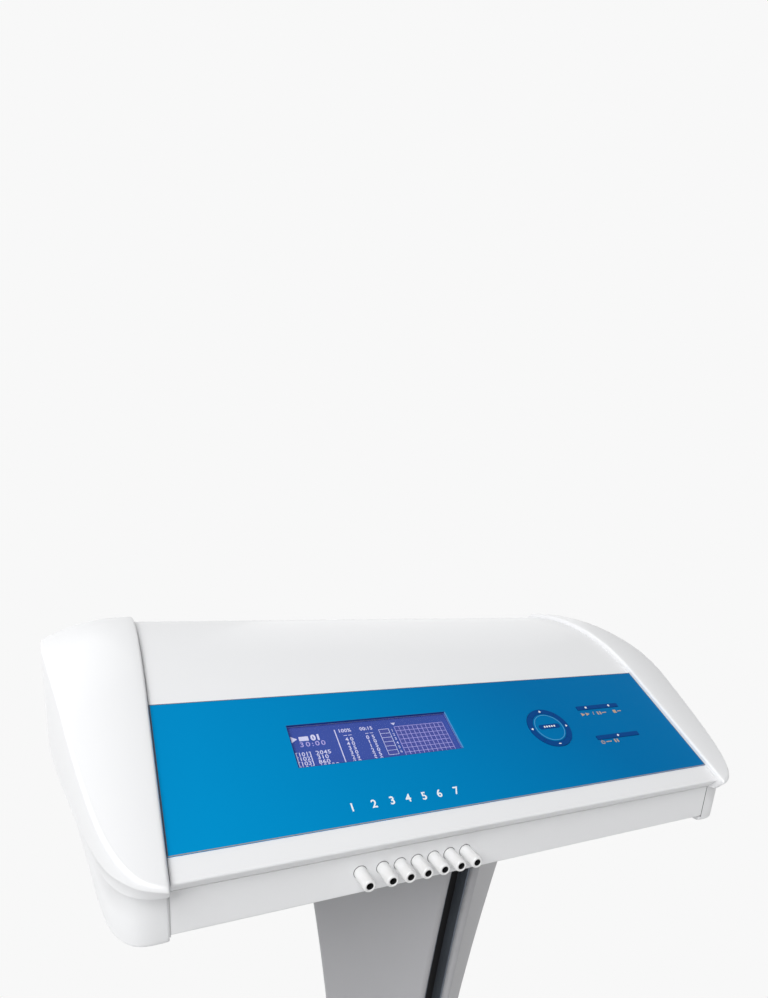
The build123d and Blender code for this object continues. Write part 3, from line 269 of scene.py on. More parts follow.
def flat_ring(x, y, outer, inner, start=0.0, sweep=360.0, steps=96):
    """A flat ring, or part of one."""

    def place(row, column):
        a, r = math.radians(start + sweep * column / steps), inner if row else outer
        return (x + r * math.cos(a)) * MM, (y + r * math.sin(a)) * MM, 0

    return sheet(2, steps + 1, place)


def flat_text(words, x, y, height, thicken=0.0, spacing=1.0, align="CENTER", condense=1.0):
    """Flat numerals about (x, y), in millimetres."""
    clear_selection()
    bpy.ops.object.text_add()
    obj = bpy.context.object
    obj.data.body = words
    obj.data.align_x, obj.data.align_y = align, "CENTER"
    obj.data.size = height * MM / LETTER_SHARE
    obj.data.offset = thicken * MM
    obj.data.space_character = spacing
    obj.data.resolution_u = 3
    obj.scale = (condense, 1, 1)
    obj.location = (x * MM, y * MM, 0)
    bpy.ops.object.convert(target="MESH")
    bpy.ops.object.transform_apply(location=True, rotation=True, scale=True)
    return bpy.context.object


def raise_flat(obj, height):
    """Gives flat work its thickness, upwards."""
    only(obj)
    bpy.ops.object.mode_set(mode="EDIT")
    bpy.ops.mesh.select_all(action="SELECT")
    bpy.ops.mesh.remove_doubles(threshold=1e-6)
    bpy.ops.mesh.normals_make_consistent(inside=False)
    bpy.ops.mesh.extrude_region_move(TRANSFORM_OT_translate={"value": (0, 0, height)})
    bpy.ops.mesh.select_all(action="SELECT")
    bpy.ops.mesh.normals_make_consistent(inside=False)
    bpy.ops.object.mode_set(mode="OBJECT")
    return obj


def upright(shape, foot, height):
    """A flat shape raised straight up from a height of the console, in millimetres."""
    obj = raise_flat(shape, height * MM)
    obj.location = console(0, 0, foot)
    return obj


def turned(profile, centre, axis, steps):
    """A closed (radius, along) section in millimetres, spun about an axis through centre."""
    side = Vector((0, 0, 1)) if abs(axis.z) < 0.9 else Vector((1, 0, 0))
    clear_selection()
    bpy.ops.mesh.primitive_circle_add(vertices=len(profile), fill_type="NOTHING")
    obj = bpy.context.object
    for vertex, (radius, along) in zip(obj.data.vertices, profile):
        vertex.co = centre + (side * radius + axis * along) * MM
    bpy.ops.object.mode_set(mode="EDIT")
    bpy.ops.mesh.select_all(action="SELECT")
    bpy.ops.mesh.spin(steps=steps, angle=2 * math.pi, center=centre, axis=axis)
    tidy_mesh()
    return obj


def tidy_mesh(threshold=1e-6):
    """Merges the doubles of the mesh in edit mode, turns its faces outwards and leaves edit mode."""
    bpy.ops.mesh.select_all(action="SELECT")
    bpy.ops.mesh.remove_doubles(threshold=threshold)
    bpy.ops.mesh.normals_make_consistent(inside=False)
    bpy.ops.object.mode_set(mode="OBJECT")


def completed(obj, name, material, body="stand", replaces=(), angle=35.0):
    """Names a modelled piece, cleans its mesh and fixes it to its body."""
    obj.name = obj.data.name = name
    only(obj)
    bpy.ops.object.transform_apply(location=True, rotation=True, scale=True)
    bpy.ops.object.mode_set(mode="EDIT")
    tidy_mesh()
    bpy.ops.object.shade_smooth_by_angle(angle=math.radians(angle))
    obj.data.materials.clear()
    obj.data.materials.append(material)
    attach(obj, body)
    if replaces:
        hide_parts(*replaces)


def printed(shapes, name, material, height=FASCIA_TOP, body="stand", thick=None):
    """Flat shapes joined, raised and laid on the slope, their foot just under the surface."""
    obj = raise_flat(joined(shapes), (thick or sizes().print_height / MM) * MM + PRINT_FOOT * MM)
    obj.matrix_world = slope_matrix(height - PRINT_FOOT)
    completed(obj, name, material, body)


# ------------------------------------------------------------------ shader nodes
def new_finish(name):
    """An empty node material and its shader."""
    material = bpy.data.materials.new(name)
    material.use_nodes = True
    tree = material.node_tree
    return material, tree.nodes, tree.links, tree.nodes["Principled BSDF"]


def worked(nodes, links, operation, *sources):
    """The result of a Math node fed by the given sockets."""
    node = nodes.new("ShaderNodeMath")
    node.operation = operation
    for socket, source in zip(node.inputs, sources):
        links.new(source, socket)
    return node.outputs[0]


def ranged(nodes, links, source, low, high, most=1.0, smooth=False):
    """Turns a socket's values from low to high into 0 to most."""
    node = nodes.new("ShaderNodeMapRange")
    if smooth:
        node.interpolation_type = "SMOOTHSTEP"
    node.inputs["From Min"].default_value, node.inputs["From Max"].default_value = low, high
    node.inputs["To Max"].default_value = most
    links.new(source, node.inputs["Value"])
    return node.outputs["Result"]


def colour_mix(nodes, links, share, first, second, blend="MIX"):
    """A mix of two colours. Each is a socket or a plain colour, and share is a socket or a number."""
    node = nodes.new("ShaderNodeMix")
    node.data_type = "RGBA"
    node.blend_type = blend
    for name, value in (("Factor", share), ("A", first), ("B", second)):
        if isinstance(value, bpy.types.NodeSocket):
            links.new(value, node.inputs[name])
        else:
            node.inputs[name].default_value = value if name == "Factor" else (*value, 1)
    return node.outputs["Result"]


def object_place(nodes, links):
    """Object coordinates, split into X, Y and Z."""
    place, split = nodes.new("ShaderNodeTexCoord"), nodes.new("ShaderNodeSeparateXYZ")
    links.new(place.outputs["Object"], split.inputs["Vector"])
    return split.outputs


def grain_group():
    """Fine moulded or painted grain: varied colour, roughness and a height for the bump."""
    if "surface_grain" in bpy.data.node_groups:
        return bpy.data.node_groups["surface_grain"]
    group = bpy.data.node_groups.new("surface_grain", "ShaderNodeTree")
    for name, kind, value in (
        ("Colour", "NodeSocketColor", (0.8, 0.8, 0.8, 1)), ("Shade", "NodeSocketColor", (0.7, 0.7, 0.7, 1)),
        ("Roughness", "NodeSocketFloat", 0.4), ("Spread", "NodeSocketFloat", 0.1),
        ("Grain Size", "NodeSocketFloat", 900.0), ("Patch Size", "NodeSocketFloat", 9.0),
        ("Patch Strength", "NodeSocketFloat", 0.3),
    ):
        group.interface.new_socket(name, in_out="INPUT", socket_type=kind).default_value = value
    for name, kind in (
        ("Colour", "NodeSocketColor"), ("Roughness", "NodeSocketFloat"), ("Height", "NodeSocketFloat"),
    ):
        group.interface.new_socket(name, in_out="OUTPUT", socket_type=kind)
    nodes, links = group.nodes, group.links
    given, made = nodes.new("NodeGroupInput").outputs, nodes.new("NodeGroupOutput").inputs
    place = nodes.new("ShaderNodeTexCoord")
    fine, broad = nodes.new("ShaderNodeTexNoise"), nodes.new("ShaderNodeTexNoise")
    for noise, size, detail in ((fine, "Grain Size", 3.0), (broad, "Patch Size", 4.0)):
        noise.inputs["Detail"].default_value = detail
        links.new(place.outputs["Object"], noise.inputs["Vector"])
        links.new(given[size], noise.inputs["Scale"])
    patches = ranged(nodes, links, broad.outputs["Fac"], 0.35, 0.75)
    amount = worked(nodes, links, "MULTIPLY", patches, given["Patch Strength"])
    links.new(colour_mix(nodes, links, amount, given["Colour"], given["Shade"]), made["Colour"])
    swing = worked(nodes, links, "MULTIPLY_ADD", fine.outputs["Fac"], given["Spread"], given["Roughness"])
    links.new(swing, made["Roughness"])
    links.new(fine.outputs["Fac"], made["Height"])
    return group


# ------------------------------------------------------------------ finishes
def grained(
    name, colour, roughness=0.4, spread=0.1, shade=0.9, patch=0.35, patch_size=9.0, grain=900.0, relief=0.02,
    metallic=0.0, coat=0.0, specular=0.5, glow=0.0, alpha=1.0,
):
    """A surface with fine grain. Relief is the bump's depth in millimetres."""
    material, nodes, links, shader = new_finish(name)
    group = nodes.new("ShaderNodeGroup")
    group.name = "grain"
    group.node_tree = grain_group()
    for socket, value in (
        ("Colour", (*colour, 1)), ("Shade", (*[c * shade for c in colour], 1)),
        ("Roughness", roughness - spread / 2), ("Spread", spread),
        ("Grain Size", grain), ("Patch Size", patch_size), ("Patch Strength", patch),
    ):
        group.inputs[socket].default_value = value
    bump = nodes.new("ShaderNodeBump")
    bump.inputs["Strength"].default_value = 1.0
    bump.inputs["Distance"].default_value = relief * MM
    links.new(group.outputs["Colour"], shader.inputs["Base Color"])
    links.new(group.outputs["Roughness"], shader.inputs["Roughness"])
    links.new(group.outputs["Height"], bump.inputs["Height"])
    links.new(bump.outputs["Normal"], shader.inputs["Normal"])
    shader.inputs["Metallic"].default_value = metallic
    shader.inputs["Coat Weight"].default_value = coat
    shader.inputs["Specular IOR Level"].default_value = specular
    shader.inputs["Alpha"].default_value = alpha
    if glow:
        links.new(group.outputs["Colour"], shader.inputs["Emission Color"])
        shader.inputs["Emission Strength"].default_value = glow
    return material


def shade_fascia(material):
    """Paints light into the fascia's print: lighter on the left and at the lower edge, where the light falls.
    """
    nodes, links = material.node_tree.nodes, material.node_tree.links
    place = object_place(nodes, links)
    # Painted light: the blue is lighter towards the left and towards the lower edge, where the light falls.
    across = ranged(nodes, links, place["X"], -0.20, 0.16)
    along = ranged(nodes, links, place["Z"], 0.905, 0.965, 0.22)
    painted_light_share = worked(nodes, links, "ADD", across, along)
    painted_light_share.node.use_clamp = True
    blue = colour_mix(nodes, links, painted_light_share, colours().print_left, colours().print_right)
    links.new(blue, nodes["grain"].inputs["Colour"])
    patches = colour_mix(nodes, links, 1.0, blue, (0.93, 0.95, 0.97), "MULTIPLY")
    links.new(patches, nodes["grain"].inputs["Shade"])


def shade_gutter(material):
    """Paints shade and light into the gutter: the floor black as painted shade, the upright walls slate as
    painted light.
    """
    nodes, links = material.node_tree.nodes, material.node_tree.links
    aside = worked(nodes, links, "ABSOLUTE", object_place(nodes, links)["X"])
    # Painted light: the upright walls slate, as lit from the left; the floor stays black as painted shade.
    wall = ranged(nodes, links, aside, 0.0079, 0.0081)
    paint = colour_mix(nodes, links, wall, FINISHES["gutter_paint"]["colour"], (0.19, 0.22, 0.26))
    links.new(paint, nodes["grain"].inputs["Colour"])


# A colour's name is one of the panel's colours. What a finish doesn't give is as in grained.
FINISHES = {
    "white_shell": dict(
        colour="shell", roughness=0.36, spread=0.10, shade=0.97, patch=0.5, patch_size=5.0, grain=1500.0,
        relief=0.012, coat=0.12,
    ),
    "white_tube": dict(
        colour=(0.80, 0.80, 0.80), roughness=0.32, spread=0.08, shade=0.93, relief=0.004, coat=0.1
    ),
    # The fascia's blue print, with painted light laid over it.
    "printed_blue": dict(
        colour="print_left", roughness=0.42, spread=0.08, grain=2200.0, relief=0.006, specular=0.03
    ),
    "navy_key": dict(
        colour="key", roughness=0.38, spread=0.06, shade=0.85, grain=2400.0, relief=0.005, specular=0.03
    ),
    "violet_cell": dict(
        colour="cell", roughness=0.35, spread=0.05, shade=0.92, patch=0.6, patch_size=30.0, relief=0.002,
        specular=0.02, glow=0.08,
    ),
    "clear_lens": dict(
        colour=(0.16, 0.18, 0.50), roughness=0.12, spread=0.03, patch=0.1, relief=0.002, specular=0.05,
        alpha=0.08,
    ),
    "light_mark": dict(colour=(0.86, 0.88, 0.90), roughness=0.4, spread=0.08, shade=0.95, relief=0.003),
    "cell_mark": dict(colour=(0.72, 0.72, 0.90), roughness=0.45, spread=0.05, relief=0.002, glow=0.15),
    "cell_line": dict(colour=(0.50, 0.44, 0.80), roughness=0.45, spread=0.05, relief=0.002, glow=0.10),
    "cell_shadow": dict(colour=(0.035, 0.05, 0.30), roughness=0.45, spread=0.05, relief=0.002, glow=0.05),
    # Painted shade and painted light on the walls of the display's opening.
    "window_line": dict(colour=(0.022, 0.055, 0.23), roughness=0.5, shade=0.8, relief=0.003, specular=0.1),
    "window_edge": dict(colour=(0.10, 0.36, 0.66), relief=0.003),
    # Strips and rings in gaps: dark as painted shade, pale as painted light.
    "seam_grey": dict(colour=(0.12, 0.12, 0.125), roughness=0.6, spread=0.15, shade=0.85, relief=0.01),
    "seam_pale": dict(colour=(0.50, 0.50, 0.51), roughness=0.6, spread=0.15, relief=0.01),
    # Painted shade inside the outlets' bores.
    "bore_black": dict(colour=(0.01, 0.01, 0.011), roughness=0.7, shade=1.5, specular=0.2),
    "outline_blue": dict(colour="outline", spread=0.08, relief=0.003),
    "legend_tan": dict(colour="legend", roughness=0.45, spread=0.08, relief=0.003),
    "edge_brown": dict(colour=(0.10, 0.075, 0.065), roughness=0.5, shade=0.8, relief=0.004),
    "edge_tan": dict(colour=(0.34, 0.29, 0.26), roughness=0.45, shade=0.85, relief=0.004),
    "grey_paint": dict(
        colour="column", roughness=0.46, spread=0.14, shade=0.94, patch=0.5, patch_size=6.0, grain=1100.0,
        relief=0.03,
    ),
    # The gutter's dark plastic, made near-black on its floor as painted shade.
    "gutter_paint": dict(
        colour=(0.010, 0.010, 0.011), roughness=0.55, spread=0.15, shade=1.4, patch=0.4, specular=0.2
    ),
    "base_plastic": dict(
        colour=(0.78, 0.785, 0.79), roughness=0.5, spread=0.14, shade=0.95, patch=0.5, patch_size=5.0,
        relief=0.04,
    ),
    "plate_paint": dict(
        colour=(0.36, 0.365, 0.375), roughness=0.5, spread=0.15, grain=700.0, relief=0.05
    ),
    "zinc_steel": dict(
        colour=(0.58, 0.585, 0.59), roughness=0.33, spread=0.16, shade=0.8, patch=0.5, patch_size=60.0,
        grain=500.0, relief=0.01, metallic=1.0,
    ),
    "brushed_steel": dict(
        colour=(0.50, 0.505, 0.51), spread=0.2, shade=0.75, patch=0.5, patch_size=40.0, grain=700.0,
        relief=0.015, metallic=1.0,
    ),
    "cast_metal": dict(
        colour=(0.44, 0.445, 0.45), roughness=0.5, spread=0.2, shade=0.7, patch=0.6, patch_size=80.0,
        grain=400.0, relief=0.06, metallic=0.9,
    ),
    "brass": dict(
        colour=(0.66, 0.45, 0.17), roughness=0.3, spread=0.12, shade=0.8, relief=0.01, metallic=1.0
    ),
    "black_plastic": dict(
        colour=(0.022, 0.022, 0.024), roughness=0.42, spread=0.16, shade=1.5, patch=0.4, patch_size=20.0,
        grain=800.0, relief=0.03,
    ),
    "tyre_grey": dict(
        colour=(0.075, 0.077, 0.08), roughness=0.62, spread=0.15, shade=1.3, patch=0.6, patch_size=40.0,
        grain=600.0, relief=0.05,
    ),
    "hub_grey": dict(
        colour=(0.30, 0.305, 0.31), roughness=0.45, spread=0.12, patch=0.4, patch_size=30.0, grain=800.0,
        relief=0.03,
    ),
    "board_green": dict(
        colour=(0.02, 0.13, 0.05), roughness=0.35, spread=0.15, shade=0.6, patch=0.8, patch_size=160.0
    ),
    "rubber": dict(
        colour=(0.03, 0.03, 0.03), roughness=0.7, spread=0.15, shade=1.3, patch=0.4, patch_size=40.0,
        grain=500.0, relief=0.05,
    ),
    "milky_hose": dict(
        colour=(0.75, 0.78, 0.80), roughness=0.3, spread=0.03, patch=0.1, relief=0.002, specular=0.05,
        alpha=0.55,
    ),
}
# Finishes that get painted light and painted shade laid over their grain.
PAINTED_LIGHT_AND_SHADE_FINISHES = {"printed_blue": shade_fascia, "gutter_paint": shade_gutter}


def finish(name):
    """The finish of that name, made when it is first asked for."""
    if name in bpy.data.materials:
        return bpy.data.materials[name]
    recipe = dict(FINISHES[name])
    colour = recipe.pop("colour")
    if isinstance(colour, str):
        colour = getattr(colours(), colour)
    material = grained(name, colour, **recipe)
    if name in PAINTED_LIGHT_AND_SHADE_FINISHES:
        PAINTED_LIGHT_AND_SHADE_FINISHES[name](material)
    return material


NODE_FINISHES = {
    "white_shell": ["top_cover", "lower_tray", "end_cap_right", "end_cap_left"],
    "white_tube": [f"air_outlet_{i}" for i in range(1, 8)],
    "printed_blue": ["fascia_panel", "key_select"],
    "navy_key": ["key_up", "key_down", "key_left", "key_right", "key_start", "key_stop", "key_standby"],
    "violet_cell": ["display_module"],
    "clear_lens": ["display_lens"],
    "grey_paint": ["column_flank_left", "column_flank_right", "column_back_cover"],
    "gutter_paint": ["column_channel"],
    "base_plastic": ["base_cover"],
    "plate_paint": ["back_plate"],
    "zinc_steel": [*[f"castor_fork_{i}" for i in range(1, 5)], "console_screws", "base_screws"],
    "brushed_steel": ["column_post", "column_top_plate", "base_plate", "power_supply"],
    "cast_metal": ["compressor_body", "valve_manifold"],
    "brass": ["outlet_nuts", "inlet_pins"],
    "black_plastic": [
        "inlet_module", "mains_rocker", "fan_frame", "fan_rotor", "key_switches", "compressor_motor",
        "solenoid_valves", "castor_brake_1", "castor_brake_2",
    ],
    "hub_grey": [f"castor_wheel_{i}" for i in range(1, 5)],
    "board_green": ["key_board", "main_board"],
    "rubber": ["compressor_feet"],
    "milky_hose": ["air_tubes"],
}


# ------------------------------------------------------------------ stage
class PUMP_OT_stage(bpy.types.Operator):
    """Adds the camera, the studio floor, the soft lights and the world"""

    bl_idname = "pump.stage"
    bl_label = "Stage, lights and camera"

    def execute(self, context):
        context.scene.view_settings.view_transform = "Standard"
        self.camera(context)
        self.floor()
        self.world(context)
        self.lamp("key_light", (-1.7, -1.5, 3.0), (0.0, 0.0, 0.9), 2.2, 92.0)
        self.lamp("front_light", (0.6, -2.9, 1.5), (0.0, 0.0, 0.85), 2.0, 8.0)
        self.lamp("back_light", (1.4, 2.6, 2.0), (0.0, 0.0, 0.8), 2.2, 6.5)
        self.lamp("rear_left_light", (-1.2, 2.0, 3.0), (0.0, 0.0, 0.9), 2.0, 8.0)
        self.lamp("side_light", (-2.2, 1.2, 1.7), (-0.25, 0.0, 0.9), 2.0, 17.0)
        return {"FINISHED"}

    def camera(self, context):
        """Stands the camera ahead and to the left of the console, a little above it."""
        data = bpy.data.cameras.new("camera")
        data.sensor_width = 36.0
        width, height, focal, middle_x, middle_y = 768, 998, 612.80, 412.84, 680.11
        data.lens = focal / height * data.sensor_width
        data.shift_x = (width / 2 - middle_x) / height
        data.shift_y = (middle_y - height / 2) / height
        data.clip_start = 0.01
        camera = bpy.data.objects.new("camera", data)
        context.scene.collection.objects.link(camera)
        place = (-0.25118, -0.45102, 1.10970)
        yaw, pitch, roll = 0.48615, 0.27202, 0.080209
        ahead = Vector((math.sin(yaw), math.cos(yaw), 0))
        right = Vector((math.cos(yaw), -math.sin(yaw), 0))
        up = Vector((0, 0, 1))
        forward = math.cos(pitch) * ahead - math.sin(pitch) * up
        above = math.sin(pitch) * ahead + math.cos(pitch) * up
        side = math.cos(roll) * right + math.sin(roll) * above
        top = -math.sin(roll) * right + math.cos(roll) * above
        turn = Matrix((side, top, -forward)).transposed().to_4x4()
        camera.matrix_world = Matrix.Translation(place) @ turn
        context.scene.camera = camera

    def floor(self):
        """Pale floor that keeps the shadow near the stand and fades to plain white further out."""
        radius, middle = sizes().floor_size / 2, 1.5
        clear_selection()
        bpy.ops.mesh.primitive_circle_add(vertices=96, radius=radius, fill_type="NGON")
        obj = bpy.context.object
        obj.name = "studio_floor"
        bpy.ops.object.mode_set(mode="EDIT")
        bpy.ops.mesh.select_all(action="SELECT")
        bpy.ops.mesh.inset(thickness=radius - middle)
        bpy.ops.object.mode_set(mode="OBJECT")
        material, nodes, links, shader = new_finish("floor_white")
        shader.inputs["Base Color"].default_value = (0.86, 0.86, 0.86, 1)
        shader.inputs["Roughness"].default_value = 0.9
        place, length = nodes.new("ShaderNodeTexCoord"), nodes.new("ShaderNodeVectorMath")
        length.operation = "LENGTH"
        links.new(place.outputs["Object"], length.inputs[0])
        fade = ranged(nodes, links, length.outputs["Value"], 0.34, 0.58, smooth=True)
        plain, mix = nodes.new("ShaderNodeEmission"), nodes.new("ShaderNodeMixShader")
        plain.inputs["Color"].default_value = BACKDROP
        links.new(worked(nodes, links, "MULTIPLY", self.direct(nodes, links), fade), mix.inputs["Fac"])
        links.new(shader.outputs["BSDF"], mix.inputs[1])
        links.new(plain.outputs["Emission"], mix.inputs[2])
        links.new(mix.outputs["Shader"], nodes["Material Output"].inputs["Surface"])
        obj.data.materials.append(material)

    def direct(self, nodes, links):
        """One for camera, glossy and transmission rays."""
        rays = nodes.new("ShaderNodeLightPath").outputs
        most = worked(nodes, links, "MAXIMUM", rays["Is Camera Ray"], rays["Is Glossy Ray"])
        return worked(nodes, links, "MAXIMUM", most, rays["Is Transmission Ray"])

    def world(self, context):
        """Soft even surroundings, plain white where they are seen."""
        world = bpy.data.worlds.new("studio")
        context.scene.world = world
        world.use_nodes = True
        nodes, links = world.node_tree.nodes, world.node_tree.links
        soft = nodes["Background"]
        soft.inputs["Color"].default_value = (0.97, 0.98, 1.0, 1)
        soft.inputs["Strength"].default_value = 0.14
        plain, mix = nodes.new("ShaderNodeBackground"), nodes.new("ShaderNodeMixShader")
        plain.inputs["Color"].default_value = BACKDROP
        links.new(self.direct(nodes, links), mix.inputs["Fac"])
        links.new(soft.outputs["Background"], mix.inputs[1])
        links.new(plain.outputs["Background"], mix.inputs[2])
        links.new(mix.outputs["Shader"], nodes["World Output"].inputs["Surface"])

    def lamp(self, name, place, aim, size, power):
        """A square soft lamp that looks at a point."""
        data = bpy.data.lights.new(name, "AREA")
        data.size, data.energy = size, power
        lamp = bpy.data.objects.new(name, data)
        bpy.context.scene.collection.objects.link(lamp)
        lamp.location = place
        lamp.rotation_euler = (Vector(aim) - Vector(place)).to_track_quat("-Z", "Y").to_euler()


class PUMP_OT_finishes(bpy.types.Operator):
    """Gives every piece of the frame its finish"""

    bl_idname = "pump.finishes"
    bl_label = "Finishes of the frame"

    def execute(self, context):
        for name, nodes in NODE_FINISHES.items():
            material = finish(name)
            for node in nodes:
                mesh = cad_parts[node].data
                if not mesh.materials:
                    mesh.materials.append(material)
                for i in range(len(mesh.materials)):
                    mesh.materials[i] = material
        return {"FINISHED"}


# ------------------------------------------------------------------ end caps
# Outlines from the front tip to the back corner, as (distance from the seam, depth).
LIP_PLAN = [(0.0, -14.8), (12.01, -10.2), (23.59, 2.79), (37.93, 41.4), (52.93, 115.31), (68.43, 219.99)]
SKIRT_PLAN = [(0.0, 1.3), (18.4, 3.5), (25.6, 11.4), (33.8, 36.9), (42.0, 95.2), (58.6, 220.0)]
CAP_WIDTH = 72.8
CAP_CORNER = 14.0
CAP_PROUD = 4.5
CAP_INSET = 8.0  # of the skirt from the lip
DOME_RADIUS = 123.0
DOME_PEAK = 5.0  # distance from the seam
CAP_LIP = 38.0
LIP_ROUND = 2.0
LIP_SWEEP = 42.0  # degrees
SKIRT_TOP = 29.8
SKIRT_MIDDLE = 13.0
CAP_FOOT = -6.0
FOOT_ROUND = 3.0

# The spacing of the caps' points.
SEAM_SHARES = (0.0, 0.08, 0.3, 0.6, 1.0)  # of the seam's rounding
SIDE_LENGTH = 330.0  # roughly, from the tip to the corner
SIDE_POINTS = 46
SIDE_CROWDING = 1.35  # above 1, points crowd towards the tip
CORNER_STEPS = 10
RIM_STEPS = 5
LIP_STEPS = 4
FOOT_STEPS = 5
DOME_COLUMNS = 18
TIP_TAPER = 6.0  # a dome narrower than this has its seam columns drawn together
SEAM_TURN = 11.0  # this far from the seam the outlines' normals are free
SKIRT_SHARE = 0.3  # of the seam's rounding, below the lip


def cover_height(y, proud):
    """Height of the cover's section at depth y, grown by proud."""
    if y <= SLOPE_TOP[0] - proud * math.sin(SLOPE):
        return SLOPE_TOP[1] + (y - SLOPE_TOP[0]) * math.tan(SLOPE) + proud / math.cos(SLOPE)
    turn_y = DEPTH - BACK_RADIUS
    turn_z = CROWN_MIDDLE[1] + math.sqrt((CROWN_RADIUS - BACK_RADIUS) ** 2 - (turn_y - CROWN_MIDDLE[0]) ** 2)
    lift = math.atan2(turn_z - CROWN_MIDDLE[1], turn_y - CROWN_MIDDLE[0])
    corner = BACK_RADIUS + proud
    if y <= turn_y + corner * math.cos(lift):
        return CROWN_MIDDLE[1] + math.sqrt((CROWN_RADIUS + proud) ** 2 - (y - CROWN_MIDDLE[0]) ** 2)
    return turn_z + math.sqrt(max(0.0, corner**2 - (y - turn_y) ** 2))


def dome_height(x, y):
    """Height of the cap's dome, x from the seam."""
    return cover_height(y, CAP_PROUD) - DOME_RADIUS + math.sqrt(DOME_RADIUS**2 - (x - DOME_PEAK) ** 2)


def smooth_line(points, shares):
    """Points on the natural cubic through the given ones, at shares of its chord length."""
    p = np.array(points)
    t = np.concatenate([[0.0], np.cumsum(np.hypot(*np.diff(p, axis=0).T))])
    n, h = len(p), np.diff(t)
    a, b = np.eye(n), np.zeros((n, 2))
    for i in range(1, n - 1):
        a[i, i - 1 : i + 2] = h[i - 1], 2 * (h[i - 1] + h[i]), h[i]
        b[i] = 6 * ((p[i + 1] - p[i]) / h[i] - (p[i] - p[i - 1]) / h[i - 1])
    m = np.linalg.solve(a, b)
    found = []
    for share in shares:
        s = share * t[-1]
        i = min(n - 2, max(0, int(np.searchsorted(t, s, side="right")) - 1))
        u, w = t[i + 1] - s, s - t[i]
        found.append(
            m[i] * u**3 / (6 * h[i]) + m[i + 1] * w**3 / (6 * h[i])
            + (p[i] / h[i] - m[i] * h[i] / 6) * u + (p[i + 1] / h[i] - m[i + 1] * h[i] / 6) * w
        )
    return np.array(found)


def cap_outline(front, inset, shares, straight):
    """The cap's outline from tip to the back seam: the side, the corner, the straight back."""
    middle = np.array([CAP_WIDTH - inset - CAP_CORNER, DEPTH + CAP_PROUD - inset - CAP_CORNER])
    line = smooth_line([*front, tuple(middle + (CAP_CORNER, 0))], shares)
    angles = [math.radians(90 * k / CORNER_STEPS) for k in range(1, CORNER_STEPS + 1)]
    arc = [middle + CAP_CORNER * np.array([math.cos(a), math.sin(a)]) for a in angles]
    back = [np.array([middle[0] * s, middle[1] + CAP_CORNER]) for s in straight]
    return np.array([*line, *arc, *back])


def outward_normals(line):
    """Unit normals of an outline that runs round the cap with the cap on its left."""
    way = np.gradient(line, axis=0)
    way[0], way[-1] = line[1] - line[0], line[-1] - line[-2]
    side = np.column_stack([way[:, 1], -way[:, 0]])
    return side / np.linalg.norm(side, axis=1)[:, None]


def along_seam(line, sides):
    """Turns an outline's normals into the seam at both of its ends."""
    for place, side in zip(line, sides):
        most = place[0] / SEAM_TURN
        if abs(side[0]) > most:
            side[:] = math.copysign(most, side[0]), math.copysign(math.sqrt(1 - most**2), side[1])
    return sides


def room_to(line, point):
    """Distance from a point to an outline."""
    start, way = line[:-1], np.diff(line, axis=0)
    share = np.clip(((point - start) * way).sum(axis=1) / (way**2).sum(axis=1), 0.0, 1.0)
    return np.linalg.norm(start + way * share[:, None] - point, axis=1).min()


def rim_profile(point, normal, radius):
    """Points over the rim's rounding to the side wall, as (distance inside the outline, height)."""

    def height(d):
        return dome_height(
            max(0.0, point[0] - normal[0] * d), min(point[1] - normal[1] * d, DEPTH + CAP_PROUD)
        )

    step = 0.05
    z = height(0.0)
    fall = math.atan((height(step) - z) / step)
    touch = radius * (1 - math.sin(fall))
    centre = z + radius * math.tan(fall) - radius / math.cos(fall)
    inside = [touch + (radius - touch) * (1 - k / RIM_STEPS) ** 2 for k in range(RIM_STEPS)]
    profile = [(d, height(d)) for d in inside]
    for k in range(RIM_STEPS + 1):
        a = (math.pi / 2 - fall) * (1 - k / RIM_STEPS)
        profile.append((radius - radius * math.cos(a), centre + radius * math.sin(a)))
    return profile


def lower_profile(p, n, q, m, wall, room):
    """Points from the side wall's top at height wall, round the lip and down the skirt, as (place, height).

    The lip's outline is at p with normal n, the skirt's at q with normal m, and room lies between them.
    """
    roll = min(LIP_ROUND, wall - CAP_LIP - 0.05, room / 2)
    points = [(p, (wall + CAP_LIP + roll) / 2)]
    for k in range(LIP_STEPS + 1):
        a = math.radians(LIP_SWEEP * k / LIP_STEPS)
        points.append((p - n * roll * (1 - math.cos(a)), CAP_LIP + roll * (1 - math.sin(a))))
    points += [
        (p - n * room / 2, SKIRT_TOP + 0.5), (q + m * min(0.6, room / 4), SKIRT_TOP + 0.2),
        (q, SKIRT_TOP - 0.6), (q, SKIRT_MIDDLE), (q, CAP_FOOT + FOOT_ROUND),
    ]
    for k in range(1, FOOT_STEPS + 1):
        a = math.radians(90 * k / FOOT_STEPS)
        points.append((q - m * FOOT_ROUND * (1 - math.cos(a)), CAP_FOOT + FOOT_ROUND * (1 - math.sin(a))))
    return points


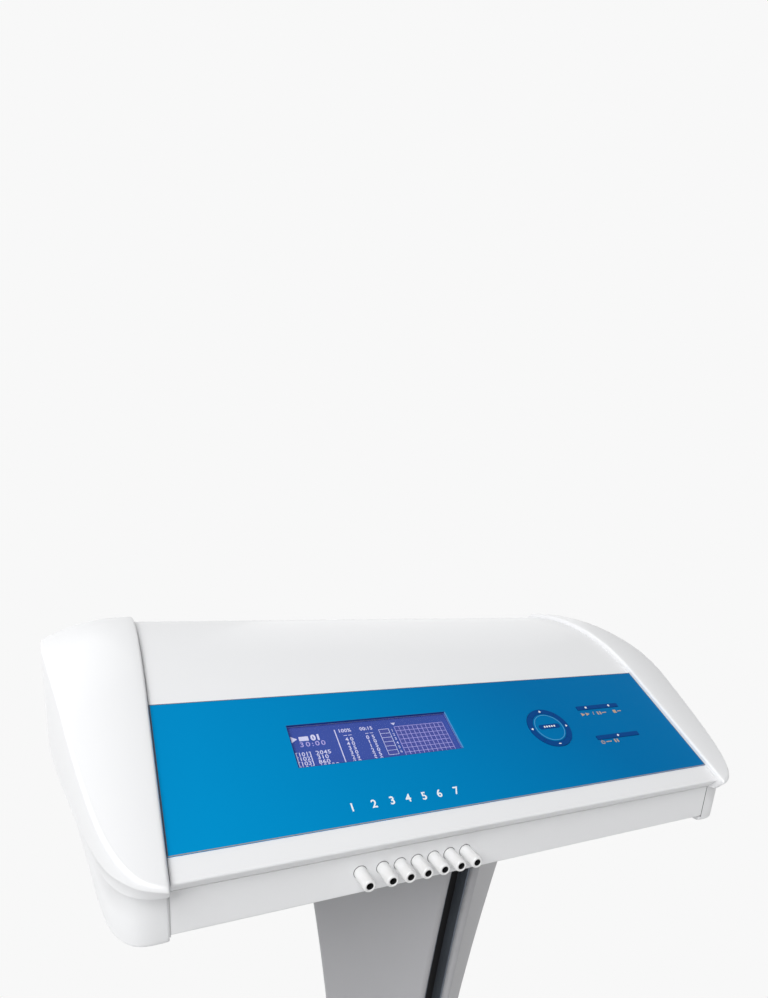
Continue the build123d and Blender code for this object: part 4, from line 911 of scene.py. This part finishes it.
def end_cap_shell():
    """The right end cap: dome, rolled rim, side wall, undercut lip and skirt with a rounded foot."""
    round_, rim = sizes().seam_round / MM, sizes().rim_round / MM
    steps = [round_ * share for share in SEAM_SHARES]
    near = [s / SIDE_LENGTH for s in steps]
    shares = near + [
        near[-1] + (1 - near[-1]) * (i / SIDE_POINTS) ** SIDE_CROWDING for i in range(1, SIDE_POINTS + 1)
    ]
    wide, spans = CAP_WIDTH - CAP_CORNER, DOME_COLUMNS - len(steps)
    straight = [s / wide for s in steps]
    straight += [(steps[-1] + (wide - steps[-1]) * i / spans) / wide for i in range(1, spans)]
    straight.reverse()
    lip = cap_outline(LIP_PLAN, 0.0, shares, straight)
    skirt = cap_outline(SKIRT_PLAN, CAP_INSET, shares, straight)
    lip_side = along_seam(lip, outward_normals(lip))
    skirt_side = along_seam(skirt, outward_normals(skirt))

    def put(x, y, z):
        return console(HALF_WIDTH + max(0.0, x), y, z)

    sections, inner = [], []
    for p, n, q, m in zip(lip, lip_side, skirt, skirt_side):
        profile = rim_profile(p, n, rim)
        inner.append(p - n * profile[0][0])
        lower = lower_profile(p, n, q, m, profile[-1][1], room_to(skirt, p))
        sections.append([put(*(p - n * d), z) for d, z in profile] + [put(*place, z) for place, z in lower])

    def top(row, column):
        x, y = inner[row]
        width = max(0.0, x)
        share = min(1.0, width / TIP_TAPER)
        if column < len(steps):
            reach = steps[column] * share
        else:
            reach = steps[-1] * share + (width - steps[-1] * share) * (column - len(steps) + 1) / spans
        return put(reach, y, dome_height(reach, y))

    crown = sheet(len(shares) + CORNER_STEPS - 1, DOME_COLUMNS, top)
    band = sheet(len(sections), len(sections[0]), lambda row, column: sections[row][column])
    obj = joined([crown, band])
    bpy.ops.object.mode_set(mode="EDIT")
    tidy_mesh(2e-5)
    close_edge(obj, console(0, 0, CAP_FOOT + 0.05).z)
    roll_seam(obj, round_)
    close_edge(obj)
    return obj


def roll_seam(obj, round_):
    """Draws the points beside the seam inwards to a quarter round, which is smaller on the skirt."""
    inside = console(HALF_WIDTH + 20, DEPTH / 2, 45)
    moves = []
    for vertex in obj.data.vertices:
        t = vertex.co.x / MM - HALF_WIDTH
        if t > round_ - 1e-4:
            continue
        normal = Vector((0, vertex.normal.y, vertex.normal.z)).normalized()
        away = vertex.co - inside
        if normal.y * away.y + normal.z * away.z < 0 and vertex.co.z > console(0, 0, CAP_LIP).z:
            normal.negate()
        depth = round_ - math.sqrt(round_**2 - (round_ - t) ** 2)
        share = 1.0 if vertex.co.z > console(0, 0, CAP_LIP - 1).z else SKIRT_SHARE
        moves.append((vertex.index, normal * depth * share * MM))
    for index, move in moves:
        obj.data.vertices[index].co -= move


def close_edge(obj, top=None):
    """Closes an open edge with a face: the foot's, which lies below the given height, or else the seam's."""
    only(obj)
    bpy.ops.object.mode_set(mode="EDIT")
    bpy.ops.mesh.select_mode(type="VERT")
    bpy.ops.mesh.select_all(action="DESELECT")
    bpy.ops.mesh.select_non_manifold(
        extend=False, use_wire=False, use_boundary=True, use_multi_face=False, use_non_contiguous=False,
        use_verts=False,
    )
    if top is not None:
        bpy.ops.object.mode_set(mode="OBJECT")
        points = obj.data.vertices
        for vertex in points:
            vertex.select = vertex.select and vertex.co.z < top
        for edge in obj.data.edges:
            edge.select = all(points[i].select for i in edge.vertices)
        bpy.ops.object.mode_set(mode="EDIT")
        bpy.ops.mesh.edge_face_add()
    else:
        bpy.ops.mesh.fill(use_beauty=True)
    bpy.ops.mesh.select_all(action="SELECT")
    bpy.ops.mesh.normals_make_consistent(inside=False)
    bpy.ops.object.mode_set(mode="OBJECT")


class PUMP_OT_end_caps(bpy.types.Operator):
    """Models both end caps with rolled rims and rounded seam edges, and the strips in their seams: dark grey
    on the right as painted shade, pale on the left as painted light
    """

    bl_idname = "pump.end_caps"
    bl_label = "End caps"

    def execute(self, context):
        model = end_cap_shell()
        # The seam strips: dark on the right as painted shade, pale on the left as painted light.
        for name, side, width, tone in (("right", 1, 0.5, "seam_grey"), ("left", -1, 0.9, "seam_pale")):
            obj = copied(model)
            for vertex in obj.data.vertices:
                vertex.co.x *= side
            completed(
                obj, f"end_cap_shell_{name}", finish("white_shell"),
                replaces=[f"end_cap_{name}"], angle=40.0,
            )
            middle = side * (HALF_WIDTH - 0.5 + width / 2)
            seam = upright(flat_bar(middle, 5.0, width, 10.6, 0.2), -0.5, 30.0)
            completed(seam, f"seam_strip_{name}", finish(tone))
        bpy.data.meshes.remove(model.data)
        return {"FINISHED"}


class PUMP_OT_foot_collar(bpy.types.Operator):
    """Lays the collar that closes the base cover's opening round the column's foot"""

    bl_idname = "pump.foot_collar"
    bl_label = "Foot collar"

    def execute(self, context):
        outline = flat_bar(0.0, POST_MIDDLE, COLLAR_WIDTH, COLLAR_WIDTH, COLLAR_ROUND)
        obj = raise_flat(outline, COLLAR_HEIGHT * MM)
        obj.location = (0.0, 0.0, COLLAR_SEAT * MM)
        completed(obj, "foot_collar", finish("grey_paint"))
        return {"FINISHED"}


# ------------------------------------------------------------------ print on the fascia
class PUMP_OT_fascia_print(bpy.types.Operator):
    """Prints the edge lines, the numerals above the outlets, the select key's outline and the legends"""

    bl_idname = "pump.fascia_print"
    bl_label = "Fascia print"

    def execute(self, context):
        height = sizes().numeral_height / MM
        numerals = [
            flat_text(str(i), x, s, height, 0.18, condense=0.92) for i, (x, s) in enumerate(NUMERALS, 1)
        ]
        printed(numerals, "outlet_numerals", finish("light_mark"))
        rim = flat_ring(*RING, SELECT_RADIUS, SELECT_RADIUS - sizes().outline_width / MM)
        printed([rim], "select_outline", finish("outline_blue"), KEY_TOP, "select_key")
        lower = [flat_bar(0, FASCIA_FOOT + 0.32, FASCIA_WIDTH, 0.6)]
        printed(lower, "lower_edge_line", finish("edge_tan"), thick=0.06)
        upper = [flat_bar(0, FASCIA_HEAD - 0.3, FASCIA_WIDTH, 0.55)]
        upper += [flat_bar(x, FASCIA_MIDDLE, 0.5, SIDE_LINE) for x in (FASCIA_SIDE, -FASCIA_SIDE)]
        printed(upper, "upper_edge_line", finish("edge_brown"), thick=0.06)
        printed(self.legends(), "key_legends", finish("legend_tan"))
        return {"FINISHED"}

    def legends(self):
        """Small pictograms under the bars: run, pause, stop and standby."""
        s, h = 88.6, 3.6
        shapes = [
            flat_shape([(129.4, s - h / 2), (133.6, s), (129.4, s + h / 2)]),
            flat_shape([(134.6, s - h / 2), (138.8, s), (134.6, s + h / 2)]),
            flat_text("/", 143.4, s, h, 0.08),
            flat_bar(148.6, s, 1.5, h), flat_bar(151.6, s, 1.5, h), flat_bar(156.0, s, 5.0, 0.9),
            flat_bar(169.0, s, h, h), flat_bar(174.6, s, 4.6, 0.9),
        ]
        x, s = 131.4, 56.0
        shapes += [
            flat_ring(x, s, 2.0, 1.35, 125.0, 290.0, 28), flat_bar(x, s + 1.2, 0.7, 2.4),
            flat_bar(138.2, s, 6.0, 0.9), flat_bar(145.4, s, 1.5, h), flat_bar(148.4, s, 1.5, h),
        ]
        return shapes


# ------------------------------------------------------------------ marks on the keys
class PUMP_OT_key_marks(bpy.types.Operator):
    """Adds the white marks on the keys and the pill on the select key"""

    bl_idname = "pump.key_marks"
    bl_label = "Key marks"

    def execute(self, context):
        x, s = RING
        for key, (dx, ds) in {"right": (1, 0), "left": (-1, 0), "up": (0, 1)}.items():
            along, across = Vector((dx, ds)), Vector((-ds, dx))
            middle = Vector((x + dx * ARROW_REACH, s + ds * ARROW_REACH))
            arrow = ((1.15, 0), (-0.2, 1), (-0.75, 0), (-0.2, -1))
            self.mark(key, flat_shape([tuple(middle + 1.25 * (along * a + across * b)) for a, b in arrow]))
        self.mark("down", flat_bar(x, s - ARROW_REACH, 2.4, 0.9, 0.3))
        for key, (mx, ms) in KEY_DOTS.items():
            corners = [(mx + KEY_DOT, ms), (mx, ms + KEY_DOT), (mx - KEY_DOT, ms), (mx, ms - KEY_DOT)]
            self.mark(key, flat_shape(corners))
        pill = [flat_bar(x + 0.4, s + 1.0, 22.2, 5.0, 2.4)]
        printed(pill, "select_pill", finish("navy_key"), KEY_TOP, "select_key")
        bars = [flat_bar(x + 0.4 + 2.6 * i, s + 1.0, 1.5, 1.9, 0.4) for i in (-2, -1, 0, 1, 2)]
        printed(bars, "select_dots", finish("light_mark"), KEY_TOP + 0.12, "select_key")
        return {"FINISHED"}

    def mark(self, key, shape):
        """A white mark that moves with its key."""
        printed([shape], f"mark_{key}", finish("light_mark"), KEY_TOP, f"{key}_key")


# ------------------------------------------------------------------ display
class PUMP_OT_display(bpy.types.Operator):
    """Fills the display with its numbers, bars and grid, and frames its opening"""

    bl_idname = "pump.display"
    bl_label = "Display"

    def execute(self, context):
        self.cells()
        self.numbers()
        self.lines()
        self.frame()
        return {"FINISHED"}

    def shown(self, shapes, name, material, lift=0.0):
        """Flat shapes on the display's cell."""
        printed(shapes, name, finish(material), CELL_TOP + lift, thick=0.06)

    def cells(self):
        """The grid at the right and the ladder beside it: dark cells with light lines between them."""
        x0, x1, s0, s1 = GRID
        across, up = GRID_CELLS
        dx, ds = (x1 - x0) / across, (s1 - s0) / up
        dark = [
            flat_bar(x0 + dx * (i + 0.5), s0 + ds * (j + 0.5), dx - 1.1, ds - 1.2)
            for i in range(across) for j in range(up)
        ]
        dark += [flat_bar(LADDER_X, 94.9 - LADDER_STEP * i, 6.9, 2.7) for i in range(6)]
        self.shown(dark, "display_cells", "cell_shadow")
        light = [flat_bar(x0 + dx * i, (s0 + s1) / 2, 0.4, s1 - s0) for i in range(across + 1)]
        light += [flat_bar((x0 + x1) / 2, s0 + ds * j, x1 - x0, 0.4) for j in range(up + 1)]
        self.shown(light, "display_grid", "cell_line", 0.02)

    def numbers(self):
        """Generic numbers: a heading, a time, four short lines and two columns."""
        words = [
            flat_shape([(-134.2, 92.6), (-129.8, 95.4), (-134.2, 98.2)]), flat_bar(-125.0, 95.4, 7.0, 4.0),
            flat_text("01", -116.0, 95.4, 5.0, 0.4, 1.1),
            flat_text("100%", -92.6, 99.3, 3.3, 0.08, 1.05), flat_text("00:15", -75.2, 99.3, 3.3, 0.08, 1.05),
        ]
        for s, left, right in (
            (81.3, "[101]", "2045"), (77.2, "[102]", "310"), (73.1, "[103]", "860"), (69.2, "[104]", "12530"),
        ):
            words.append(flat_text(left, -134.4, s, 3.5, 0.06, 1.05, "LEFT", 1.05))
            words.append(flat_text(right, -119.6, s, 3.5, 0.06, 1.1, "LEFT", 1.1))
        pairs = (("40", "05"), ("40", "10"), ("35", "15"), ("30", "20"), ("25", "25"), ("20", "30"))
        for row, (left, right) in enumerate(pairs):
            s = 90.6 - LADDER_STEP * row
            for word, places in ((left, (-93.2, -89.4)), (right, (-76.6, -72.0))):
                words += [flat_text(digit, x, s, 3.5, 0.08) for digit, x in zip(word, places)]
            words.append(flat_text(str(row + 1), -54.8, s + 4.3, 2.6, 0.02))
        words += [flat_bar(x, 94.6, 2.6, 0.45) for x in (-93.3, -89.6, -76.0, -72.3)]
        words.append(flat_shape([(-53.6, 102.4), (-51.7, 99.9), (-49.8, 102.4)]))
        self.shown(words, "display_numbers", "cell_mark", 0.02)
        clock = flat_text("30:00", -119.6, 89.9, 4.3, 0.05, 1.3, condense=1.15)
        self.shown([clock], "display_time", "cell_line", 0.02)

    def lines(self):
        """The divider and the ladder of bars."""
        shapes = [flat_bar(-100.2, 84.9, 0.75, 32.2)]
        shapes += [flat_bar(LADDER_X, 97.0 - LADDER_STEP * row, 8.4, 0.36) for row in range(7)]
        shapes += [flat_bar(x, 84.55, 0.36, 25.2) for x in (-65.6, -57.4)]
        self.shown(shapes, "display_lines", "cell_mark", 0.02)

    def frame(self):
        """The liners inside the opening, one below the other, and their right sides; the top liner is painted
        shade on three walls and painted light on its right wall.
        """
        x, s, w, h = WINDOW
        half = LINER / 2
        # The top liner's three walls are dark as painted shade, and its right wall is light as painted light.
        for name, foot, height, tone, lit_right_tone in (
            ("window_liner", -0.2, 0.98, "window_line", "window_edge"),
            ("window_well", -0.98, 0.78, "violet_cell", "violet_cell"),
            ("window_seat", -2.28, 0.46, "violet_cell", "violet_cell"),
        ):
            sides = [
                flat_bar(x, s + h / 2 - half, w, LINER), flat_bar(x, s - h / 2 + half, w, LINER),
                flat_bar(x - w / 2 + half, s, LINER, h - 2 * LINER),
            ]
            start, thick = foot + PRINT_FOOT, height - PRINT_FOOT
            printed(sides, name, finish(tone), start, thick=thick)
            right = [flat_bar(x + w / 2 - half, s, LINER, h - 2 * LINER)]
            printed(right, name + "_right", finish(lit_right_tone), start, thick=thick)


# ------------------------------------------------------------------ outlets
class PUMP_OT_outlets(bpy.types.Operator):
    """Turns the seven hose outlets with rounded tips, bores lined black as painted shade and a dark ring at
    their foot as painted shade
    """

    bl_idname = "pump.outlets"
    bl_label = "Air outlets"

    def execute(self, context):
        tube = [
            (2.4, -16.9), (2.7, -17.2), (3.2, -17.3), (3.75, -17.2), (4.2, -16.75), (4.45, -16.0),
            (4.45, -1.2), (4.45, 0.0), (3.15, 0.0), (3.15, 5.5), (2.7, 5.5), (2.7, 16.5), (2.4, 16.5),
        ]
        # A black lining and plug in each bore: painted shade.
        shade_liner = [(2.05, -16.7), (2.38, -16.95), (2.38, 12.0), (0.05, 12.0), (0.05, 11.6), (2.05, 11.6)]
        # A dark ring at each tube's foot: painted shade of the gap round the tube.
        ring = [(4.46, -0.35), (4.65, -0.35), (4.75, -0.2), (4.75, 0.0), (4.46, 0.0)]
        models = [
            (turned(profile, console(0, 0, OUTLET_Z), Vector((0, 1, 0)), 40), name, tone)
            for profile, name, tone in (
                (tube, "outlet_tube", "white_tube"), (shade_liner, "outlet_liner", "bore_black"),
                (ring, "outlet_ring", "seam_grey"),
            )
        ]
        for i, x in enumerate(OUTLETS_X, 1):
            for model, name, tone in models:
                obj = copied(model)
                obj.location.x = x * MM
                completed(obj, f"{name}_{i}", finish(tone))
                if name == "outlet_tube":
                    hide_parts(f"air_outlet_{i}")
        for model, _, _ in models:
            bpy.data.meshes.remove(model.data)
        return {"FINISHED"}


# ------------------------------------------------------------------ castors
class PUMP_OT_castors(bpy.types.Operator):
    """Turns the castor wheels as a soft tyre on a dished hub"""

    bl_idname = "pump.castors"
    bl_label = "Castor wheels"

    def execute(self, context):
        tyre = [
            (19.5, -9.3), (22.6, -10.0), (23.7, -9.4), (24.5, -8.0), (24.9, -5.5), (25.0, -2.0), (25.0, 2.0),
            (24.9, 5.5), (24.5, 8.0), (23.7, 9.4), (22.6, 10.0), (19.5, 9.3),
        ]
        hub = [
            (3.05, -10.0), (6.4, -10.0), (7.0, -9.5), (7.6, -7.9), (8.6, -7.5), (17.2, -7.5), (18.3, -7.9),
            (18.9, -9.0), (19.5, -9.3), (19.5, 9.3), (18.9, 9.0), (18.3, 7.9), (17.2, 7.5), (8.6, 7.5),
            (7.6, 7.9), (7.0, 9.5), (6.4, 10.0), (3.05, 10.0),
        ]
        models = [
            (turned(profile, Vector((0, 0, WHEEL_RADIUS)) * MM, Vector((1, 0, 0)), 64), name)
            for profile, name in ((tyre, "tyre"), (hub, "hub"))
        ]
        for i, (x, y) in enumerate(CASTORS, 1):
            for model, name in models:
                obj = copied(model)
                obj.location = (x * MM, (y + CASTOR_TRAIL) * MM, 0)
                completed(
                    obj, f"castor_{name}_{i}", finish(f"{name}_grey"), f"wheel_{i}",
                    [f"castor_wheel_{i}"],
                )
        for model, _ in models:
            bpy.data.meshes.remove(model.data)
        return {"FINISHED"}


OPERATORS = [
    PUMP_OT_stage, PUMP_OT_finishes, PUMP_OT_end_caps, PUMP_OT_foot_collar, PUMP_OT_fascia_print,
    PUMP_OT_key_marks, PUMP_OT_display, PUMP_OT_outlets, PUMP_OT_castors,
]


class PUMP_PT_panel(bpy.types.Panel):
    """Lists the pump's pieces, sizes and colours"""

    bl_idname = "PUMP_PT_panel"
    bl_label = "Compression pump"
    bl_space_type = "VIEW_3D"
    bl_region_type = "UI"
    bl_category = "Pump"

    def draw(self, context):
        for operator in OPERATORS:
            self.layout.operator(operator.bl_idname)
        for group in (context.scene.pump_sizes, context.scene.pump_colours):
            box = self.layout.box()
            for name in group.bl_rna.properties.keys():
                if name not in ("rna_type", "name"):
                    box.prop(group, name)


CLASSES = [PumpSizes, PumpColours, *OPERATORS, PUMP_PT_panel]


def register():
    """Adds the classes, and the sizes and colours to the scene."""
    for cls in CLASSES:
        bpy.utils.register_class(cls)
    bpy.types.Scene.pump_sizes = bpy.props.PointerProperty(type=PumpSizes)
    bpy.types.Scene.pump_colours = bpy.props.PointerProperty(type=PumpColours)


def unregister():
    """Takes away what register adds."""
    del bpy.types.Scene.pump_colours
    del bpy.types.Scene.pump_sizes
    for cls in reversed(CLASSES):
        bpy.utils.unregister_class(cls)


def main():
    """Dresses the whole pump."""
    register()
    bpy.ops.pump.stage()
    bpy.ops.pump.finishes()
    bpy.ops.pump.end_caps()
    bpy.ops.pump.foot_collar()
    bpy.ops.pump.fascia_print()
    bpy.ops.pump.key_marks()
    bpy.ops.pump.display()
    bpy.ops.pump.outlets()
    bpy.ops.pump.castors()


if __name__ == "__main__":
    main()
